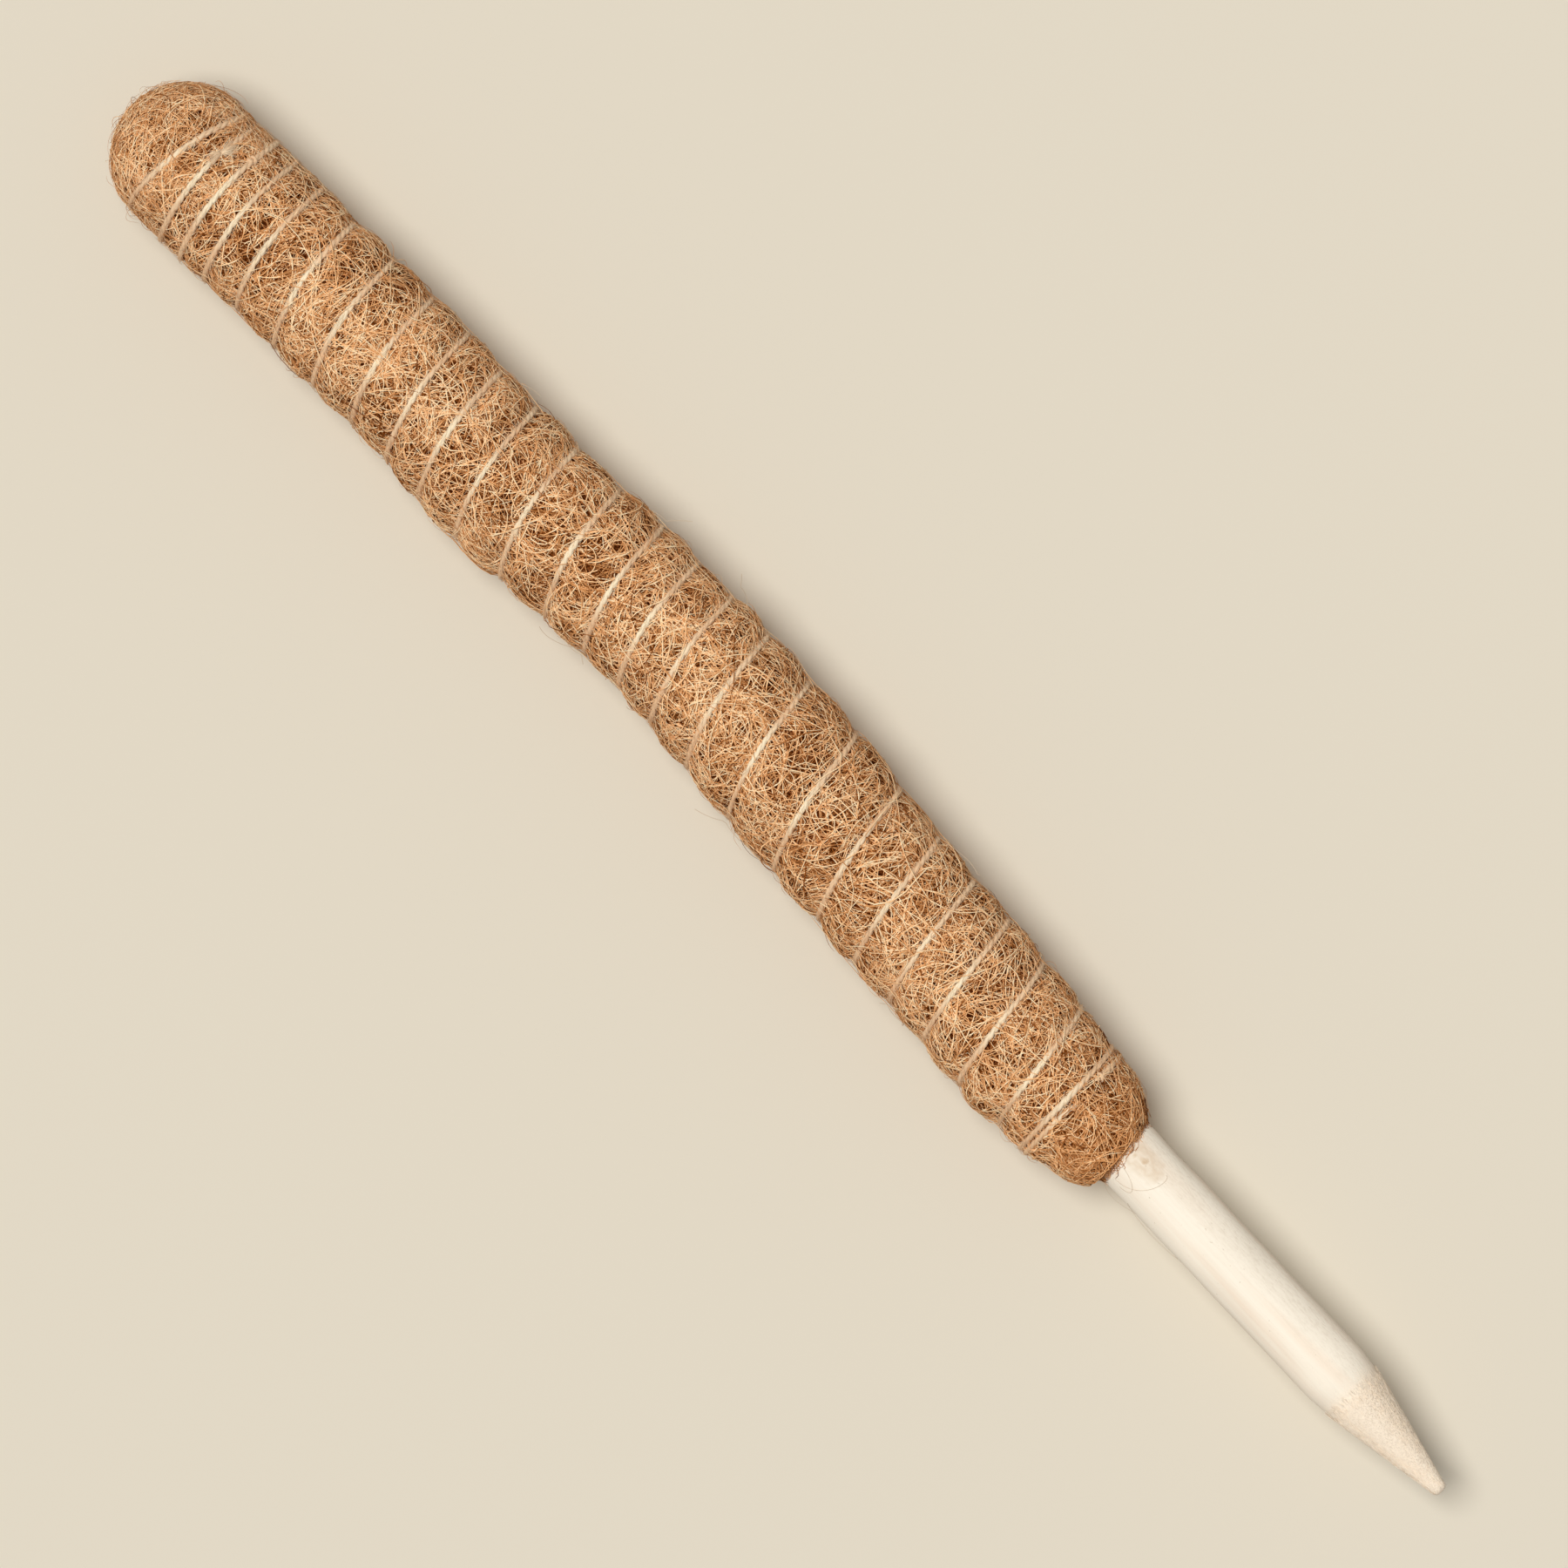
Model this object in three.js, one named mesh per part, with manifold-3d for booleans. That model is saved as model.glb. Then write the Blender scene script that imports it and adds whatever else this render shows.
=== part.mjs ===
// Moss pole: a pointed wooden stake inside two wraps of coir mat, a coir cap over its upper end,
// and jute twine wound round the coir from the foot to the dome.
// Millimetres, +Z up the pole. The origin is on the stake's axis at the soil line, where the coir
// ends and the bare stake begins. The viewer stands on the -Y side.
import * as THREE from 'three';
import { mergeVertices } from 'three/addons/utils/BufferGeometryUtils.js';
import loadManifold from 'manifold-3d';

const wasm = await loadManifold();
wasm.setup();

// Stake
const STAKE_DIAMETER = 15;
const BARE_STAKE_LENGTH = 98;
const POINT_LENGTH = 29;
const TIP_DIAMETER = 3;

// Coir wraps and cap
const COIR_LENGTH = 302;
const INNER_WRAP_THICKNESS = 3;
const OUTER_WRAP_THICKNESS = 4.9;
const COLLAR_LENGTH = 3;
const FOOT_ROUNDING = 9;
const FOOT_DRAW_IN = 2.2;
const FOOT_TAPER_LENGTH = 14;
const CINCH_DEPTH = 2.2;
const CAP_HEIGHT = 18;
const DOME_HEIGHT = 17;

// The stick is not quite straight: its wrapped length bows towards +X.
const BOW = 4.3;

// Twine, counted in turns that pass the viewer, from turn 0 near the foot
const TWINE_DIAMETER = 1.5;
const END_KNOT_TURN = -0.9;
const BINDING_TURNS = 24;
const LASHING_TURNS = 2.5;
const FIRST_TURN_HEIGHT = 16.7;
const LASHING_END_BELOW_TOP = 10;
const LASHING_PITCH = 7.5;

// Knots
const KNOT_DIAMETER = 2.1 * TWINE_DIAMETER;
const KNOT_LENGTH = 4.4;
const KNOT_WAIST = 0.25;

// Hand winding: how the spacing opens at the foot, closes at the top, wanders and leans
const OPENING_TURN = 0.3;
const OPENING_SOFTNESS = 0.4;
const CLOSING_TURNS = 7.1;
const CLOSING_SOFTNESS = 2;
const SLOW_WANDER = 2.5;
const SLOW_WANDER_TURNS = 12.5;
const SLOW_WANDER_START = THREE.MathUtils.degToRad(169);
const QUICK_WANDER = 1.6;
const QUICK_WANDER_TURNS = 6.25;
const QUICK_WANDER_START = THREE.MathUtils.degToRad(-66);
const LEAN = 1.4;

// Fits and facets
const FIT_GAP = 0.3;
const FACET_MARGIN = 0.1;
const SIDES = 18;
const TWINE_SIDES = 6;
const KNOT_SIDES = 8;
const ROW_HEIGHT = 60;
const ARC_STEPS = 4;
const STRAIGHT_CLEARANCE = 0.25;

// Radii from the stake outwards
const STAKE_RADIUS = STAKE_DIAMETER / 2;
const INNER_BORE = STAKE_RADIUS + FIT_GAP;
const INNER_RADIUS = INNER_BORE + INNER_WRAP_THICKNESS;
const OUTER_BORE = INNER_RADIUS + FIT_GAP;
const CREST_RADIUS = OUTER_BORE + OUTER_WRAP_THICKNESS;
const TWINE_RADIUS = TWINE_DIAMETER / 2;
const KNOT_RADIUS = KNOT_DIAMETER / 2;

// Heights
const TIP_HEIGHT = -BARE_STAKE_LENGTH;
const SHOULDER_HEIGHT = TIP_HEIGHT + POINT_LENGTH;
const CAP_SEAM = COIR_LENGTH - CAP_HEIGHT;
const WRAP_TOP = CAP_SEAM - FIT_GAP;
const DOME_BASE = COIR_LENGTH - DOME_HEIGHT;

// Knot places along the winding, and the pitch that fills the coir between them
const TOP_KNOT_TURN = END_KNOT_TURN + BINDING_TURNS;
const LASHING_KNOT_TURN = TOP_KNOT_TURN + LASHING_TURNS;
const FOOT_PITCH = KNOT_RADIUS + TWINE_RADIUS + FIT_GAP;
const CLOSING_TURN = LASHING_KNOT_TURN - CLOSING_TURNS;
const MAIN_PITCH = mainPitch();
const FLANK_SLOPE = 2 * CINCH_DEPTH / MAIN_PITCH;
const TWINE_LIFT = (TWINE_RADIUS + FIT_GAP) * Math.hypot(1, FLANK_SLOPE) + FACET_MARGIN;

// Sideways place of the stick's middle at a height
function bow(height) {
  const share = THREE.MathUtils.clamp(height / COIR_LENGTH, 0, 1);
  return BOW * Math.sin(Math.PI * share) ** 2;
}

// A run that is 0 at turn 0, level before the start turn and one a turn after it
function easedRun(turn, start, softness) {
  const run = (t) => (t + Math.hypot(t, softness)) / 2;
  return run(turn - start) - run(-start);
}

function openRun(turn) {
  return easedRun(turn, OPENING_TURN, OPENING_SOFTNESS);
}

function closeRun(turn) {
  return easedRun(turn, CLOSING_TURN, CLOSING_SOFTNESS);
}

// Pitch of the middle turns, so that the lashing ends at its height below the top
function mainPitch() {
  const end = LASHING_KNOT_TURN;
  const span = COIR_LENGTH - LASHING_END_BELOW_TOP - FIRST_TURN_HEIGHT;
  const ends = FOOT_PITCH * (end - openRun(end)) + LASHING_PITCH * closeRun(end);
  return (span - ends) / (openRun(end) - closeRun(end));
}

// Height of the twine after a number of turns
function windingHeight(turn) {
  const open = openRun(turn);
  const close = closeRun(turn);
  const wound = THREE.MathUtils.clamp(turn, 0, LASHING_KNOT_TURN);
  const fullTurn = 2 * Math.PI;
  const wander = SLOW_WANDER * Math.sin(fullTurn * wound / SLOW_WANDER_TURNS + SLOW_WANDER_START)
    + QUICK_WANDER * Math.sin(fullTurn * wound / QUICK_WANDER_TURNS + QUICK_WANDER_START);
  const lean = LEAN * Math.sin(Math.PI * wound / LASHING_KNOT_TURN) * Math.sin(fullTurn * turn);
  return FIRST_TURN_HEIGHT + FOOT_PITCH * (turn - open) + MAIN_PITCH * (open - close)
    + LASHING_PITCH * close + wander + lean;
}

// Height of the coir's groove, which runs on at the main pitch past both ends of the twine
function grooveHeight(turn) {
  const wound = THREE.MathUtils.clamp(turn, END_KNOT_TURN, LASHING_KNOT_TURN);
  return windingHeight(wound) + MAIN_PITCH * (turn - wound);
}

// Outer radius of the coir between two turns, drawn in towards the foot
function crestRadius(height) {
  const taperTop = FIRST_TURN_HEIGHT + FOOT_TAPER_LENGTH;
  const out = THREE.MathUtils.smoothstep(height, FIRST_TURN_HEIGHT, taperTop);
  return CREST_RADIUS - FOOT_DRAW_IN * (1 - out);
}

// Radius of the coir under the twine: wide gaps swell more than narrow ones
function grooveRadius(turn) {
  const pitch = grooveHeight(turn + 0.5) - grooveHeight(turn - 0.5);
  return crestRadius(grooveHeight(turn)) - CINCH_DEPTH * Math.min(1, pitch / MAIN_PITCH);
}

function poleTurn(turn, radius, height) {
  const angle = 2 * Math.PI * turn - Math.PI / 2;
  return new THREE.Vector3(
    bow(height) + radius * Math.cos(angle), radius * Math.sin(angle), height);
}

function twinePoint(turn) {
  return poleTurn(turn, grooveRadius(turn) + TWINE_LIFT, windingHeight(turn));
}

// Closed solid of a geometry whose shared corners are merged
function solid(geometry) {
  const bare = geometry.clone();
  bare.deleteAttribute('normal');
  bare.deleteAttribute('uv');
  const merged = mergeVertices(bare);
  const corners = Array.from(merged.index.array);
  const faces = [];
  for (let i = 0; i < corners.length; i += 3) {
    const [a, b, c] = corners.slice(i, i + 3);
    if (a !== b && b !== c && c !== a) faces.push(a, b, c);
  }
  return new wasm.Manifold(new wasm.Mesh({
    numProp: 3,
    vertProperties: new Float32Array(merged.attributes.position.array),
    triVerts: new Uint32Array(faces),
  }));
}

function faceted(points, faces) {
  const geometry = new THREE.BufferGeometry().setFromPoints(points);
  geometry.setIndex(faces);
  return solid(geometry);
}

// Radius and height pairs up one straight side, close enough to follow the bow
function side(radius, from, to) {
  const rows = Math.ceil(Math.abs(to - from) / ROW_HEIGHT);
  return Array.from({ length: rows + 1 }, (_, i) => [radius, from + (to - from) * i / rows]);
}

function arc(place) {
  return Array.from({ length: ARC_STEPS + 1 }, (_, i) => place(i / ARC_STEPS * Math.PI / 2));
}

function lathe(outline, sides) {
  const points = outline.map(([radius, height]) => new THREE.Vector2(radius, height));
  return new THREE.LatheGeometry(points, sides).rotateX(Math.PI / 2);
}

// Solid turned on the stick's bowed middle line
function turned(outline) {
  const geometry = lathe(outline, SIDES);
  const places = geometry.attributes.position;
  for (let i = 0; i < places.count; i++) {
    places.setX(i, places.getX(i) + bow(places.getZ(i)));
  }
  return solid(geometry);
}

function stake() {
  return turned([
    [0, TIP_HEIGHT],
    [TIP_DIAMETER / 2, TIP_HEIGHT],
    [STAKE_RADIUS, SHOULDER_HEIGHT],
    ...side(STAKE_RADIUS, 0, WRAP_TOP),
    [0, WRAP_TOP],
  ]);
}

function innerWrap() {
  const outside = side(INNER_RADIUS, 0, WRAP_TOP);
  const bore = side(INNER_BORE, WRAP_TOP, 0);
  return turned([...outside, ...bore, outside[0]]);
}

// Swollen coir surface: a groove row under the twine and a crest row between its turns, both
// running round the pole as one screw, closed by a point at each end
function swollenCoir() {
  const first = Math.floor((END_KNOT_TURN - 2) * SIDES);
  const steps = Math.ceil((LASHING_KNOT_TURN + 1) * SIDES) - first;
  const groove = [];
  const crest = [];
  for (let i = 0; i <= steps + SIDES; i++) {
    const turn = (first + i) / SIDES;
    groove.push(poleTurn(turn, grooveRadius(turn), grooveHeight(turn)));
    const middle = (grooveHeight(turn) + grooveHeight(turn + 1)) / 2;
    if (i <= steps) crest.push(poleTurn(turn, crestRadius(middle), middle));
  }
  const points = [...groove, ...crest];
  const above = (i) => groove.length + i;
  const faces = [];
  for (let i = 0; i < steps; i++) {
    faces.push(i, i + 1, above(i + 1), i, above(i + 1), above(i));
    faces.push(above(i), above(i + 1), i + 1 + SIDES, above(i), i + 1 + SIDES, i + SIDES);
  }
  const low = points.push(poleTurn(0, 0, groove[0].z - CREST_RADIUS)) - 1;
  const high = points.push(poleTurn(0, 0, groove.at(-1).z + CREST_RADIUS)) - 1;
  for (let i = 0; i < SIDES; i++) {
    faces.push(low, i + 1, i);
    faces.push(high, steps + i, steps + i + 1);
  }
  faces.push(low, above(0), SIDES, low, 0, above(0));
  faces.push(high, steps + SIDES, above(steps), high, above(steps), steps);
  return faceted(points, faces);
}

// Space that the outer wrap fills: rounded in to the collar at its foot, cut off under the cap
function outerWrapSpace() {
  const footRadius = CREST_RADIUS - FOOT_DRAW_IN + FACET_MARGIN;
  const footTop = COLLAR_LENGTH + FOOT_ROUNDING;
  const rounding = arc((a) => [
    INNER_RADIUS + (footRadius - INNER_RADIUS) * Math.sin(a),
    footTop - FOOT_ROUNDING * Math.cos(a),
  ]);
  const clear = CREST_RADIUS + CINCH_DEPTH;
  const bore = side(OUTER_BORE, WRAP_TOP, COLLAR_LENGTH);
  return turned([
    ...rounding.slice(1),
    ...side(clear, footTop + FIT_GAP, WRAP_TOP),
    ...bore,
    rounding[1],
  ]);
}

// Space that the cap fills: flat on the wraps and the stake's end, domed above
function capSpace() {
  const clear = CREST_RADIUS + FIT_GAP;
  const dome = arc((a) => [clear * Math.cos(a), DOME_BASE + DOME_HEIGHT * Math.sin(a)]);
  return turned([[0, CAP_SEAM], [clear, CAP_SEAM], ...dome.slice(0, -1), [0, COIR_LENGTH]]);
}

// Middle and direction of a knot that is tied on the twine's line
function knotPlace(turn) {
  const nudge = 1 / SIDES;
  const along = twinePoint(turn + nudge).sub(twinePoint(turn - nudge)).normalize();
  return { middle: twinePoint(turn), along };
}

// Knot pulled tight: two rounded wraps with a waist between them, flat where the twine enters
function knot(turn, spare) {
  const { middle, along } = knotPlace(turn);
  const half = KNOT_LENGTH / 2 + spare;
  const full = KNOT_RADIUS + spare;
  const neck = TWINE_RADIUS + spare + FACET_MARGIN;
  const geometry = lathe([
    [0, -half], [neck, -half], [full, -half / 2], [full - KNOT_WAIST, 0],
    [full, half / 2], [neck, half], [0, half],
  ], KNOT_SIDES);
  const up = new THREE.Vector3(0, 0, 1);
  geometry.applyQuaternion(new THREE.Quaternion().setFromUnitVectors(up, along));
  geometry.translate(middle.x, middle.y, middle.z);
  return solid(geometry);
}

// Line of twine between two knots, with its ends straight and square to them
function twineLine(fromTurn, toTurn) {
  const meet = KNOT_LENGTH / 2 + FIT_GAP;
  const straight = (meet + TWINE_DIAMETER) / (2 * Math.PI * CREST_RADIUS);
  const first = Math.ceil((fromTurn + straight) * SIDES + STRAIGHT_CLEARANCE);
  const last = Math.floor((toTurn - straight) * SIDES - STRAIGHT_CLEARANCE);
  const end = (turn, sense) => [meet, meet + TWINE_DIAMETER].map((reach) => {
    const { middle, along } = knotPlace(turn);
    return middle.addScaledVector(along, sense * reach);
  });
  const turns = Array.from({ length: last - first + 1 }, (_, i) => (first + i) / SIDES);
  return [...end(fromTurn, 1), ...turns.map(twinePoint), ...end(toTurn, -1).reverse()];
}

function twine(line) {
  const points = [];
  const faces = [];
  line.forEach((place, i) => {
    const along = line[Math.min(i + 1, line.length - 1)].clone()
      .sub(line[Math.max(i - 1, 0)]).normalize();
    const out = new THREE.Vector3(place.x - bow(place.z), place.y, 0);
    out.addScaledVector(along, -out.dot(along)).normalize();
    const across = along.clone().cross(out);
    for (let s = 0; s < TWINE_SIDES; s++) {
      const angle = 2 * Math.PI * s / TWINE_SIDES;
      points.push(place.clone().addScaledVector(out, TWINE_RADIUS * Math.cos(angle))
        .addScaledVector(across, TWINE_RADIUS * Math.sin(angle)));
    }
  });
  const corner = (ring, s) => ring * TWINE_SIDES + s % TWINE_SIDES;
  for (let ring = 0; ring + 1 < line.length; ring++) {
    for (let s = 0; s < TWINE_SIDES; s++) {
      faces.push(corner(ring, s), corner(ring, s + 1), corner(ring + 1, s + 1));
      faces.push(corner(ring, s), corner(ring + 1, s + 1), corner(ring + 1, s));
    }
  }
  const end = line.length - 1;
  for (let s = 1; s + 1 < TWINE_SIDES; s++) {
    faces.push(corner(0, 0), corner(0, s + 1), corner(0, s));
    faces.push(corner(end, 0), corner(end, s), corner(end, s + 1));
  }
  return faceted(points, faces);
}

// Least space between one turn of a line of twine and another
function leastGap(line) {
  let least = Infinity;
  for (let i = 0; i < line.length; i++) {
    for (let j = i + SIDES / 2; j < line.length; j++) {
      least = Math.min(least, line[i].distanceTo(line[j]) - TWINE_DIAMETER);
    }
  }
  return least;
}

function finish(color, roughness) {
  return new THREE.MeshStandardMaterial({ color, roughness, metalness: 0 });
}

function piece(name, body, material) {
  const { vertProperties, triVerts } = body.getMesh();
  const geometry = new THREE.BufferGeometry();
  geometry.setAttribute('position', new THREE.BufferAttribute(vertProperties, 3));
  geometry.setIndex(new THREE.BufferAttribute(triVerts, 1));
  geometry.computeVertexNormals();
  const mesh = new THREE.Mesh(geometry, material);
  mesh.name = name;
  return mesh;
}

const wood = finish('#f2e4cd', 0.75);
const coir = finish('#c0905f', 0.95);
const deepCoir = finish('#96663c', 0.95);
const jute = finish('#dcc6a0', 0.9);

const knotTurns = [END_KNOT_TURN, TOP_KNOT_TURN, LASHING_KNOT_TURN];
const swollen = knotTurns.reduce((body, turn) => body.subtract(knot(turn, FIT_GAP)), swollenCoir());
const bindingLine = twineLine(END_KNOT_TURN, TOP_KNOT_TURN);
const lashingLine = twineLine(TOP_KNOT_TURN, LASHING_KNOT_TURN);
console.log(`binding twine, least gap between turns: ${leastGap(bindingLine).toFixed(2)} mm`);
console.log(`top lashing, least gap between turns: ${leastGap(lashingLine).toFixed(2)} mm`);

const mossPole = new THREE.Group();
mossPole.add(
  piece('stake', stake(), wood),
  piece('inner_coir_wrap', innerWrap(), deepCoir),
  piece('outer_coir_wrap', swollen.intersect(outerWrapSpace()), coir),
  piece('coir_top_cap', swollen.intersect(capSpace()), coir),
  piece('binding_twine', twine(bindingLine), jute),
  piece('top_lashing', twine(lashingLine), jute),
  piece('end_knot', knot(END_KNOT_TURN, 0), jute),
  piece('top_knot', knot(TOP_KNOT_TURN, 0), jute),
  piece('lashing_knot', knot(LASHING_KNOT_TURN, 0), jute),
);

export default mossPole;
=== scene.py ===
import math

import bmesh
import bpy
import numpy as np
from mathutils import Matrix, Vector


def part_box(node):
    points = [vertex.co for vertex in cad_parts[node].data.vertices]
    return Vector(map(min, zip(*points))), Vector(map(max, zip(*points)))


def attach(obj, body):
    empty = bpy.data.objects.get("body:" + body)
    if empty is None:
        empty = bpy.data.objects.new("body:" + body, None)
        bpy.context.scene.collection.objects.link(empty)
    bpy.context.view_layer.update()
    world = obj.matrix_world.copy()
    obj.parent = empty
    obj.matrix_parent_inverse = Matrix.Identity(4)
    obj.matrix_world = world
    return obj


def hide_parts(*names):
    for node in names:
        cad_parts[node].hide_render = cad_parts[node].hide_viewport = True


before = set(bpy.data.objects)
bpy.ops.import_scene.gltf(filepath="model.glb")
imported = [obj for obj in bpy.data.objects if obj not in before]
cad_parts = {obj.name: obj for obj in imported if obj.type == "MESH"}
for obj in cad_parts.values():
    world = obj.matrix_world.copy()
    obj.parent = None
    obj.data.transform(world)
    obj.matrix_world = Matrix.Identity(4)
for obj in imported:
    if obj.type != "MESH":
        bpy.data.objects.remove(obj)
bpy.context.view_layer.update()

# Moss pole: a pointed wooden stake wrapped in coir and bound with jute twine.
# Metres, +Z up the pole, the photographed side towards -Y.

bl_info = {
    "name": "Moss Pole",
    "version": (1, 0, 0),
    "blender": (4, 5, 0),
    "location": "View3D > Sidebar > Moss Pole",
    "description": "Dresses a coir moss pole: stake, coir wraps, loose fibres, twine and knots",
    "category": "Add Mesh",
}

BODY = "root"
MM = 0.001
FULL_TURN = 2 * math.pi
NOISE_CELLS = 64
FRONT = np.array([0, -1, 0])
ALMOST_UP = np.array([0.02, 0.01, 1.0])

# Stake
STAKE_RADIUS = 7.5 * MM
TIP_RADIUS = 1.5 * MM
POINT_LENGTH = 29 * MM
TIP_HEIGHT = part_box("stake")[0].z
STAKE_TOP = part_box("stake")[1].z
SHOULDER_HEIGHT = TIP_HEIGHT + POINT_LENGTH
STAKE_SIDES = 120
POINT_ROWS = 84
BARE_ROWS = 70
WRAPPED_ROWS = 30
TIP_INSET = 0.7 * MM
TIP_LEAN = -0.8 * MM
TIP_DOME = -0.25 * MM
TIP_ROUNDING = 0.35
SHOULDER_ROUNDING = 0.42 * MM
POINT_ROUGHNESS = 0.07 * MM
STAKE_UNEVENNESS = 0.13 * MM
SPLINTER_COUNT = 2600

# Loose hairs on the bare stake, as places across and along its front in mm
STAKE_HAIRS = (
    ((2.7, -10.2), (2.2, -11.0), (-0.3, -10.8), (-2.8, -9.4), (-4.6, -7.0), (-5.6, -3.0)),
    ((-2.6, -1.0), (-2.9, -4.0), (-3.9, -7.2), (-5.2, -7.6), (-6.0, -5.4)),
    ((-7.2, -9.0), (-7.9, -14.0), (-8.2, -18.5), (-7.8, -23.0), (-7.3, -25.5)),
    ((-7.3, -2.0), (-8.6, -5.5), (-8.2, -9.0), (-7.4, -12.0)),
    ((-0.2, -26.6), (-0.1, -26.8), (0.0, -26.9), (0.1, -27.1)),
)
STAKE_HAIR_LIFT = 0.05 * MM
STAKE_HAIR_THICKNESS = 0.35
LONG_HAIR_STEPS = 24

# Coir wraps and cap
COIR_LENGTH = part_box("coir_top_cap")[1].z
CAP_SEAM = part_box("coir_top_cap")[0].z
INNER_RADIUS = 10.8 * MM
CREST_RADIUS = 16 * MM
FOOT_DRAW_IN = 2.2 * MM
FOOT_TAPER_LENGTH = 14 * MM
CINCH_DEPTH = 2.2 * MM
DOME_HEIGHT = 17 * MM
DOME_BASE = COIR_LENGTH - DOME_HEIGHT
BOW = 4.3 * MM
CAP_EDGE = -0.3
CAP_WALL_TOP = -0.2

# Twine, counted in turns that pass the viewer, from turn 0 near the foot
TWINE_RADIUS = 0.75 * MM
KNOT_RADIUS = 1.575 * MM
FIT_GAP = 0.3 * MM
FACET_MARGIN = 0.1 * MM
END_KNOT_TURN = -0.9
TOP_KNOT_TURN = 23.1
TUFT_TURN = 24.06
LAST_TURN = 25.6
FIRST_TURN_HEIGHT = 16.7 * MM
LASHING_END_BELOW_TOP = 10 * MM
LASHING_PITCH = 7.5 * MM
FOOT_PITCH = KNOT_RADIUS + TWINE_RADIUS + FIT_GAP
STEPS_A_TURN = 190
PLY_SWING = 0.44
KNOT_WRAPS = 1.6
KNOT_LENGTH = 2 * MM
FUZZ_STEPS = 4
TUFT_COUNT = 170
TUFT_STEPS = 7

# Hand winding: how the spacing opens at the foot, closes at the top, wanders and leans
OPENING = (0.3, 0.4)
CLOSING = (LAST_TURN - 7.1, 2.0)
SLOW_WANDER = (2.5 * MM, 12.5, math.radians(169))
QUICK_WANDER = (1.6 * MM, 6.25, math.radians(-66))
LEAN = 1.4 * MM
TOP_LEAN = 3.2 * MM
TOP_LEAN_START = 24.3
TOP_LEAN_RUN = 0.4
SAG = 2 * MM
SAG_TURNS = 10

# Where the twine rises and sinks into the coir, as (turn, spread, size)
TWINE_RAISES = ((END_KNOT_TURN, 0.3, 1.5 * MM),)
TWINE_SINKS = ((-0.3, 0.7, 0.5 * MM), (24.73, 0.09, 1.4 * MM))
TWINE_SINK = 0.25 * MM

# Painted highlight on the twine by angle round the pole in degrees, as (middle, spread, share)
TWINE_HIGHLIGHTS = ((-7, 23, 1.0), (64, 30, 0.3))

# Rounding of the coir: pillows between the turns, the foot, and where it swells or lies to one
# side of the stick, as (height, spread, size)
PILLOW_FULLNESS = 2.6
FOOT_TOP = 13 * MM
FOOT_BOTTOM = -0.2 * MM
FOOT_RADIUS = 8.2 * MM
FOOT_CURVE = 0.62
SWELLS = MM * np.array((
    (103, 22, 0.75), (191, 12, 0.4), (147, 12, -0.45), (215, 10, -0.3), (50, 14, -0.3),
    (272, 26, -0.3), (16, 8, 0.4)))
SHIFTS = MM * np.array((
    (190, 22, -1.9), (20, 32, -1.35), (74, 20, -0.6), (136, 12, 0.4), (288, 12, -0.4)))
LUMP_SIZE = 0.35 * MM
LUMP_WIDTH = 9 * MM
LUMPS_AROUND = 12

# How deep the felted body lies under the coir's outside, the dome under its fuzz, the share of the
# cinch that the fibres follow, and how the foot hangs unevenly
FELT_DEPTH = 0.95 * MM
DOME_RISE = DOME_HEIGHT - 1.4 * MM
FELT_CINCH = 0.72
DRAPE_HEIGHT = 14 * MM
DRAPE_ACROSS = 1.2 * MM
DRAPE_FRONT = 0.9 * MM

# Strands: sides, width on the colour map, tones used there, and how far shading faces outwards
FIBRE_SIDES = 3
PLY_SIDES = 6
STRAND_MAP = "OFBake"
MAP_WIDTH = 0.004
PLY_TONES = np.array([0.25, 0.75])
TONES = (0.02, 0.98)
DARKEST = TONES[0]
FACING_OUT = 0.7

# Coir fibres. EVEN_STEPS are steps along and around that leave no clumps or holes
FIBRE_STEPS = 8
FIBRE_PIECES = 8
EVEN_STEPS = (0.7548776662, 0.5698402910)
LIE_WIDTH = 10 * MM
LIE_SWING = 2.4
LIE_SPREAD = 0.45
LOOSE_SHARE = 0.32
SWING = 65
MOST_CURL = 320
LOWEST_FIBRE = 0.8 * MM
WEAVE = 0.16
TUCK = 0.5
FRINGE_COUNT = 1500
FRINGE_STEPS = 7
STRAY_STEPS = 9

# Fibres that lie on top of the mat: their share, what is added to it near the top, how much of the
# cinch they follow, and their height, length, curl and weave beside those of the others
ON_TOP_SHARE = 0.015
ON_TOP_MORE = 0.05
ON_TOP_CINCH = 0.25
ON_TOP_HEIGHT = (0.25, 0.45)
ON_TOP_LENGTH = 1.4
ON_TOP_CURL = 0.45
ON_TOP_WEAVE = 0.4
ON_TOP_TUCK = 0.9

# Tone of the fibres: common, its spread, its change with depth, which is painted shade (deeper fibres
# darker, fibres on top lighter), and from patch to patch, and what it is drawn to at the foot
TONE = 0.84
TONE_SPREAD = 0.38
PAINTED_DEPTH_SHADE = 0.65
TONE_BY_PATCH = 0.06
FOOT_TONE = 0.33
FOOT_TONE_SHARE = 0.6

# Long hairs on the outline: side, height where it leaves, length along the pole, reach, bend
LONG_HAIRS = (
    (-1, 154, 9, 2.6, 0.5),
    (-1, 91, 22, 3.4, 1.8),
    (1, 168, -11, 4.6, 1.6),
    (1, 136, 6, 4.8, 0.8),
    (-1, 158, -7, 2.0, 0.6),
    (1, 206, -8, 2.4, 1.2),
    (1, 74, -12, 2.2, 1.4),
    (-1, 48, 9, 1.8, 1.0),
)
LONG_HAIR_RADIUS = 0.06 * MM

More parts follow.
